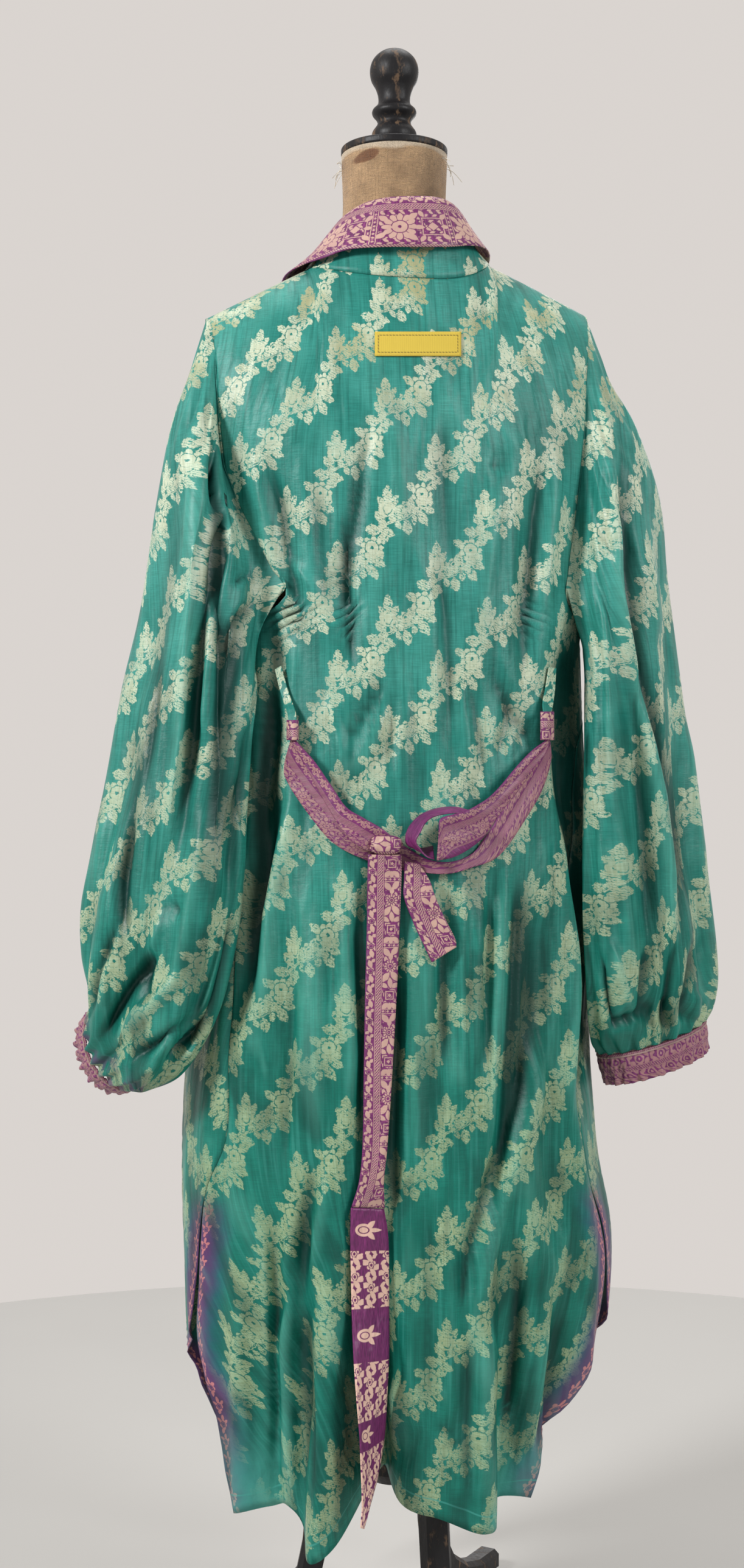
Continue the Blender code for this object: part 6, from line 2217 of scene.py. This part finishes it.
def sleeve_piece(node, table, side, creases, coat, cuff_coat):
    """A sleeve, lapped over the body at the armhole, and its cuff."""
    rings = sleeve_rings(table, side)
    last = rings[-1]
    loop, past, off = armhole_ring(side)
    from_place = np.arange(len(loop))[:, None] - FRONT_LAP[0]
    inward = past * FRONT_LAP[2] * bell(from_place, FRONT_LAP[1])
    rings = np.concatenate([(loop + off * ARMHOLE_LAP - inward)[None], rings])
    fine = finer(rings, *SLEEVE_FINER, closed=True)
    fine = np.roll(fine, fine.shape[1] // 4, 1)
    count, around_count = fine.shape[:2]
    middle = fine.mean(1, keepdims=True)
    share = np.linspace(0, 1, count)[:, None]
    degrees = (np.arange(around_count) / around_count * 360 - 90)[None, :]
    hidden = np.zeros((count, around_count))
    for angle, width, at, reach, deep in SLEEVE_HIDDEN:
        hidden += deep * bell(turned_from(angle, degrees), width) * bell(share - at, reach)
    ends = smooth((share - CREASE_START) * CREASE_FADES[0]) * smooth((1 - share) * CREASE_FADES[1])
    off = outward(fine, middle, True)
    toward_body = smooth(1 - 2 * np.clip(side * off[..., 0] + 0.5, 0, 1))
    push = pushes(fine, off, creases, hidden) * ends
    push = np.where(push > 0, push * (1 - toward_body), push) * CREASE_SCALE
    shaped = fine + off * push[..., None] / 1000
    u, v = hanging(fine, side)
    down = run(fine, 0)[:, around_count // 2]
    outer_edge = abs(u - u[:, [around_count // 4]])
    border = np.stack([np.broadcast_to(down[-1] - down[:, None], u.shape), outer_edge], -1)
    made = make(f"{node}_cloth", shaped, coat, [node], np.stack([u, v], -1), border,
                closed=True, fold=push)
    declare(fine, True)
    cuff_piece(node.replace("sleeve", "cuff"), last, cuff_coat)


def cuff_piece(node, ring, coat):
    """The cuff, and the cord along its seam."""
    away = unit(ring - ring.mean(0))
    smoothed = ring - away * zigzag(len(ring))[:, None] * SLEEVE_GATHER
    walls = finer(cuff_walls(smoothed), *CUFF_FINER, closed=True)
    turn = full_turn(walls.shape[1])[None, :, None]
    level = np.linspace(0, 1, walls.shape[0])[:, None, None]
    out = unit(walls - walls.mean(1, keepdims=True))
    puckers, waves, slant, deep = SMOCKING
    smocking = np.sin(turn * puckers) * np.cos(level * np.pi * waves + turn * slant) * deep
    waves, first, deep, start, fast = WAVY_EDGE
    edge = np.sin(turn * waves + first) * deep * smooth((level - start) * fast)
    walls = walls + out * (smocking + edge)
    lengths = np.stack([run(walls, 1, True), joined(run(walls, 0))], -1)
    made = make(f"{node}_cloth", walls, coat, [node], None, lengths, THIN_CUFF,
                closed=True)
    declare(walls, True)
    row, lift, radius = PIPING
    cord(f"{node}_piping", walls[row] + out[row] * lift, radius, COATS["cord"])


def cord(name, line, radius, coat, closed=True, sides=8):
    """A thin tube along a line of places."""
    line = np.asarray(line, float)
    if closed:
        ahead = unit(np.roll(line, -1, 0) - np.roll(line, 1, 0))
    else:
        ahead = unit(np.gradient(line, axis=0))
    guide = np.tile(unit(np.array(CORD_GUIDE)), (len(line), 1))
    one = unit(np.cross(ahead, guide))
    two = np.cross(ahead, one)
    turn = full_turn(sides)
    rings = (line[:, None] + radius * (np.cos(turn)[None, :, None] * one[:, None]
             + np.sin(turn)[None, :, None] * two[:, None]))
    count = len(line)
    faces = []
    for a in range(count if closed else count - 1):
        b = (a + 1) % count
        for k in range(sides):
            m = (k + 1) % sides
            faces.append((a * sides + k, b * sides + k, b * sides + m, a * sides + m))
    if not closed:
        faces.append(tuple(range(sides))[::-1])
        faces.append(tuple((count - 1) * sides + k for k in range(sides)))
    return finish_mesh(name, mesh_of(name, rings, faces), coat, [])


def collar_piece(coat):
    """The folded collar band: its pattern runs from the middle of the neck, and from its fold."""
    grid = finer(collar_grid(), *BAND_FINER)
    fold = BAND_FOLD_COLUMN * BAND_FINER[1]
    across, down = run(grid, 1), run(grid, 0)[:, fold]
    t = across - across[:, [fold]]
    s = np.broadcast_to((down - down[len(down) // 2])[:, None], t.shape)
    made = make("collar_band_cloth", grid, coat, ["collar_band"], None,
                np.stack([s, t], -1), THIN_BAND)
    declare(grid)


def neck_piece(coat):
    """The neck band, lapped over the back's neck edge, and the seam at its middle."""
    grid = neck_band_grid()
    grid[-1] += unit(grid[-1] - grid[-2]) * NECK_LAP + np.array([0, -NECK_LAP, 0]) * NECK_LAP_BACK
    grid = finer(grid, *NECK_FINER)
    middle = grid.shape[1] // 2
    across, down = run(grid, 1), run(grid, 0)
    u = across - across[:, [middle]]
    cloth = np.stack([u, NECK_V - down], -1)
    border = np.full((*u.shape, 2), NO_BORDER)
    made = make("neck_band_cloth", grid, coat, ["neck_band"], cloth, border)
    declare(grid)
    seam = grid[slice(*SEAM_ROWS), middle] - np.array([0, SEAM_LIFT, 0])
    thread = plain("seam_thread", TEAL_SHADE, 0.8)
    cord("neck_band_seam", seam, SEAM_RADIUS, thread, False, SEAM_SIDES)


def strip_grid(table):
    """A belt stretch's grid, from its upper to its lower edge."""
    rows = np.array(table, float)
    at = np.linspace(0, len(rows) - 1, (len(rows) - 1) * STRIP_STEPS * STRIP_FINER + 1)
    fine = along(np.column_stack([np.arange(len(rows)), rows]), at)
    upper = lay(fine[:, 0], fine[:, 1], fine[:, 4])
    lower = lay(fine[:, 2], fine[:, 3], fine[:, 5])
    shares = np.linspace(0, 1, STRIP_ACROSS * STRIP_FINER_ACROSS + 1)
    return np.stack([upper + (lower - upper) * s for s in shares], 1)


def strip_piece(node, table, coat, start=0.0, wave=0.0):
    """A belt stretch: start is where the pattern's length is counted from, wave its soft folds."""
    grid = strip_grid(table)
    across, down = run(grid, 1), run(grid, 0)
    off = outward(grid, np.array([0, 0, 1]) * grid)
    share = np.linspace(0, 1, grid.shape[0])[:, None]
    level = np.linspace(0, 1, grid.shape[1])[None, :]
    ends = smooth(share * STRIP_FADE) * smooth((1 - share) * STRIP_FADE)
    (across_one, down_one), (across_two, down_two) = STRIP_WAVES
    push = (wave * ends * np.sin(level * across_one + share * down_one)
            * np.cos(share * down_two + level * across_two))
    shaped = grid + off * push[..., None]
    border = np.stack([down + start, across], -1)
    made = make(f"{node}_cloth", shaped, coat, [node], border, border, THIN_BAND)
    declare(grid)


def knot_piece(coat):
    """The belt's knot: a blunt ball with wrapped folds."""
    centre = lay(np.array([KNOT_MIDDLE[0]]), np.array([KNOT_MIDDLE[1]]), np.array([KNOT_LIFT]))[0]
    turn = full_turn(KNOT_ROUND)
    blunt, boxy = KNOT_POWERS
    across, away = [np.sign(part) * np.abs(part) ** boxy for part in (np.cos(turn), np.sin(turn))]
    rings = []
    for latitude in np.radians(np.linspace(*KNOT_LATITUDES)):
        fold = 1 + sum(deep * np.sin(turn * count + latitude * slant) for deep, count, slant in KNOT_FOLDS)
        size = np.cos(latitude) ** blunt * fold
        up = np.sin(latitude) * KNOT_HALF[1]
        rings.append(centre + to_robe(KNOT_HALF[0] * size * across, up, KNOT_HALF[2] * size * away))
    made = loft("belt_knot_cloth", np.array(rings), coat, ["belt_knot"])
    layer = made.data.uv_layers.new(name="border")
    corner = np.empty(len(made.data.loops), int)
    made.data.loops.foreach_get("vertex_index", corner)
    places = np.array([vertex.co[:] for vertex in made.data.vertices])
    spread = (places[corner][:, [0, 2]] - [0.0, float(centre[2]) + KNOT_PATTERN_TOP]) * [1000, -1000]
    layer.data.foreach_set("uv", spread.reshape(-1))


def carrier_piece(node, where, coat):
    """A small tube that the belt goes through."""
    left, right, top, bottom = where
    turn = full_turn(CARRIER_ROUND)
    columns = (left + right) / 2 + (right - left) / 2 * np.cos(turn)
    lifts = CARRIER_LIFT + CARRIER_HALF * np.sin(turn)
    rows = np.linspace(top, bottom, CARRIER_RINGS)
    grid = np.array([lay(columns, np.full(CARRIER_ROUND, row), lifts) for row in rows])
    lengths = np.stack([run(grid, 1, True), joined(run(grid, 0))], -1)
    made = make(f"{node}_cloth", grid, coat, [node], None, lengths, THIN_BAND,
                closed=True)
    declare(grid, True)


def label_piece(coat):
    """The woven label, flat on the back."""
    left, right, top, bottom = LABEL
    across, down = LABEL_GRID
    columns, rows = np.meshgrid(np.linspace(left, right, across), np.linspace(top, bottom, down))
    grid = lay(columns, rows, np.full(columns.shape, LABEL_LIFT))
    across, down = run(grid, 1), run(grid, 0)
    cloth = np.stack([across - across[:, -1:] / 2, down[-1:] / 2 - down], -1)
    made = make("back_label_cloth", grid, coat, ["back_label"], cloth, None, THIN_LABEL)
    declare(grid)


def form_piece(linen_coat, wood_coat):
    """The dress form's torso, cap and finial, smoother than the solids."""
    turn = full_turn(FORM_ROUND)
    heights = np.unique(np.concatenate([np.linspace(*FORM_RINGS), FORM_EDGES]))
    rings = []
    for z, (half, back, front) in zip(heights, along(FORM, heights)):
        y = np.where(np.cos(turn) > 0, back, front) * np.cos(turn)
        rings.append(np.stack([half * np.sin(turn), -y, np.full(FORM_ROUND, z)], -1))
    loft("form_torso_linen", rings, linen_coat, ["form_torso"])
    top = FORM[-1][0] + SEAM_GAP
    cap = [(CAP_RADIUS - CAP_EDGE * (1 - np.cos(a)), CAP_EDGE * (1 - np.sin(a)))
           for a in np.linspace(np.pi / 2, 0, CAP_STEPS)]
    cap = [(CAP_RADIUS - CAP_EDGE, 0.0)] + [(r, h) for r, h in cap]
    cap += [(r, CAP_HEIGHT - h) for r, h in cap[::-1]]
    turned_piece("neck_cap_wood", cap, top, wood_coat, ["neck_cap"])
    profile = np.array(FINIAL)[::-1]
    at = np.linspace(0, len(profile) - 1, FINIAL_RINGS)
    smooth_profile = along(np.column_stack([np.arange(len(profile)), profile]), at)
    smooth_profile[:, 0] = np.maximum(smooth_profile[:, 0], FINIAL_TIP)
    turned_piece("finial_wood", smooth_profile, top + CAP_HEIGHT + SEAM_GAP, wood_coat, ["finial"])


def turned_piece(name, profile, foot, coat, nodes):
    """A piece of turned wood: its profile is radius and height above its foot."""
    turn = full_turn(TURNED_ROUND)
    rings = [np.stack([r * np.cos(turn), r * np.sin(turn), np.full(TURNED_ROUND, foot + h)], -1)
             for r, h in profile]
    loft(name, rings, coat, nodes)


def threads(coat):
    """Loose threads at the torn top of the form's linen."""
    spread = np.random.default_rng(4)
    radius, top, below = THREAD_ROOT
    reach = np.linspace(0, 1, THREAD_STEPS)[:, None]
    for number, (middle, count) in enumerate(TUFTS):
        for k in range(count):
            turn = np.radians(middle + spread.uniform(-TUFT_SPREAD, TUFT_SPREAD))
            way = np.array([np.sin(turn), -np.cos(turn), 0])
            root = way * radius + np.array([0, 0, top - spread.uniform(0, below)])
            curl = spread.uniform(-1, 1, 3) * np.array(THREAD_CURL)
            size = spread.uniform(*THREAD_SIZE)
            line = root + way * reach * size + (curl - np.array([0, 0, size])) * reach**2
            cord(f"linen_thread_{number}_{k}", line, THREAD_RADIUS, coat, False, THREAD_SIDES)


def lights():
    """Soft studio light: a big key from the upper left, a fill, a top light, and a pale room."""
    world = bpy.data.worlds.new("studio")
    world.use_nodes = True
    LOOK.append(world.node_tree)
    way = add_node("ShaderNodeTexCoord")
    ahead = split(Value(way.outputs["Generated"]))[1]
    behind = world.node_tree.nodes["Background"]
    feed(behind.inputs["Color"], mix(soft(ahead, -ROOM_BLEND, ROOM_BLEND), ROOM_DIM, ROOM_PALE))
    bpy.context.scene.world = world
    for name, spot, power, size in STUDIO_LIGHTS:
        lamp = bpy.data.lights.new(name, "AREA")
        lamp.shape = "DISK"
        lamp.energy = power
        lamp.size = size
        made = new_object(name, lamp)
        made.location = spot
        aim = np.array([0.0, 0.0, LAMP_AIM]) - np.array(spot)
        made.rotation_euler = Vector(aim.tolist()).to_track_quat("-Z", "Y").to_euler()


def floor():
    """A pale round floor, which belongs to the stage."""
    mesh = bpy.data.meshes.new("floor")
    ring = [(FLOOR_RADIUS * np.cos(a), FLOOR_RADIUS * np.sin(a), -FLOOR_DROP)
            for a in full_turn(FLOOR_ROUND)]
    mesh.from_pydata(ring, [], [tuple(range(FLOOR_ROUND))])
    mesh.materials.append(plain("floor_paper", FLOOR_COLOUR, 0.9, shade=0.97, scale=1.5))
    new_object("floor", mesh)


def camera():
    """The place that the robe is seen from, with the photograph's picture angle."""
    data = bpy.data.cameras.new("camera")
    data.lens = VIEW_FOCAL / PHOTO_HEIGHT * SENSOR
    data.sensor_width = SENSOR
    data.sensor_fit = "AUTO"
    data.dof.use_dof = False
    made = new_object("camera", data)
    right = np.array([np.cos(VIEW_TURN), np.sin(VIEW_TURN)])
    ahead = np.array([-np.sin(VIEW_TURN), np.cos(VIEW_TURN)])
    x, y = -VIEW_SIDE_STEP * right - VIEW_DISTANCE * ahead - np.array(WHOLE_MIDDLE)
    made.location = (float(x), float(y), VIEW_HEIGHT)
    made.rotation_euler = (np.pi / 2, 0, VIEW_TURN)
    bpy.context.scene.camera = made
    bpy.context.scene.view_settings.view_transform = "Standard"


def build():
    """Every piece, from the cloth to the form."""
    middle = lay(np.array([ROSE_SEEN[0]]), np.array([ROSE_SEEN[1]]), np.array([0.0]))[0]
    ROSE_MIDDLE[:] = [float(middle[0]) * 1000, float(middle[2]) * 1000]
    green = green_silk("green_silk_plain", "plain")
    hung = green_silk("green_silk_hung", "hung")
    slit = green_silk("green_silk_slit", "slit")
    dyed = green_silk("green_silk_dyed", "sleeve")
    belt = purple_silk("purple_silk_belt", (10, 6.5, 16))
    swag = purple_silk("purple_silk_swag", (17, 11, 27), 1.7, CREAM_MUTED)
    collar = purple_silk("purple_silk_collar", (12, 6.5, 40))
    cuffs = cuff_silk("purple_silk_cuff")
    bare = tail_silk("purple_silk_plain", ())
    tail = tail_silk("purple_silk_tail", TAIL_CLUSTERS)
    wood = worn_wood("black_wood_worn")
    COATS["cord"] = plain("cream_cord", CORD_CREAM, 0.7)
    panel_piece("back_panel", back_grid(FINER), None, slit, (0, -1))
    for side, node in ((-1, "front_left"), (1, "front_right")):
        panel_piece(node, front_grid(side, FINER), -1, slit, (0,))
    sleeve_piece("sleeve_left", LEFT_SLEEVE, -1, LEFT_CREASES, dyed, cuffs)
    sleeve_piece("sleeve_right", RIGHT_SLEEVE, 1, RIGHT_CREASES + CUFF_PLEATS, hung, cuffs)
    neck_piece(green)
    collar_piece(collar)
    label_piece(label_weave("yellow_tape_weave"))
    strip_piece("belt_garland", GARLAND, swag, 0.0, 0.0007)
    strip_piece("belt_strap_left", STRAP_LEFT, swag, 40.0, 0.0006)
    strip_piece("belt_strap_right", STRAP_RIGHT, swag, 15.0, 0.0006)
    strip_piece("belt_bow_loop", BOW_LOOP, bare, 0.0, 0.0006)
    strip_piece("belt_short_tail", SHORT_TAIL, belt, 0.0, 0.0008)
    strip_piece("belt_tail_upper", TAIL_UPPER, belt, 8.0, 0.0007)
    strip_piece("belt_tail_lower", TAIL_LOWER, tail, 0.0, 0.0009)
    knot_piece(belt)
    strip_piece("carrier_tab_left", TAB_LEFT, green)
    strip_piece("carrier_tab_right", TAB_RIGHT, green)
    carrier_piece("carrier_left", CARRIER_LEFT, belt)
    carrier_piece("carrier_right", CARRIER_RIGHT, belt)
    form_piece(linen("old_linen_cover"), wood)
    threads(plain("linen_thread", THREAD_PALE, 0.9))
    for name in ("stand_pole", "stand_hub", "stand_leg_1", "stand_leg_2", "stand_leg_3"):
        part = bpy.data.objects.get(name)
        if part:
            part.data.materials.clear()
            part.data.materials.append(wood)


LOOK = []
COATS = {}
ROSE_MIDDLE = [0.0, 0.0]
BACK = back_grid()
FRONTS = {-1: front_grid(-1), 1: front_grid(1)}
build()
floor()
lights()
camera()
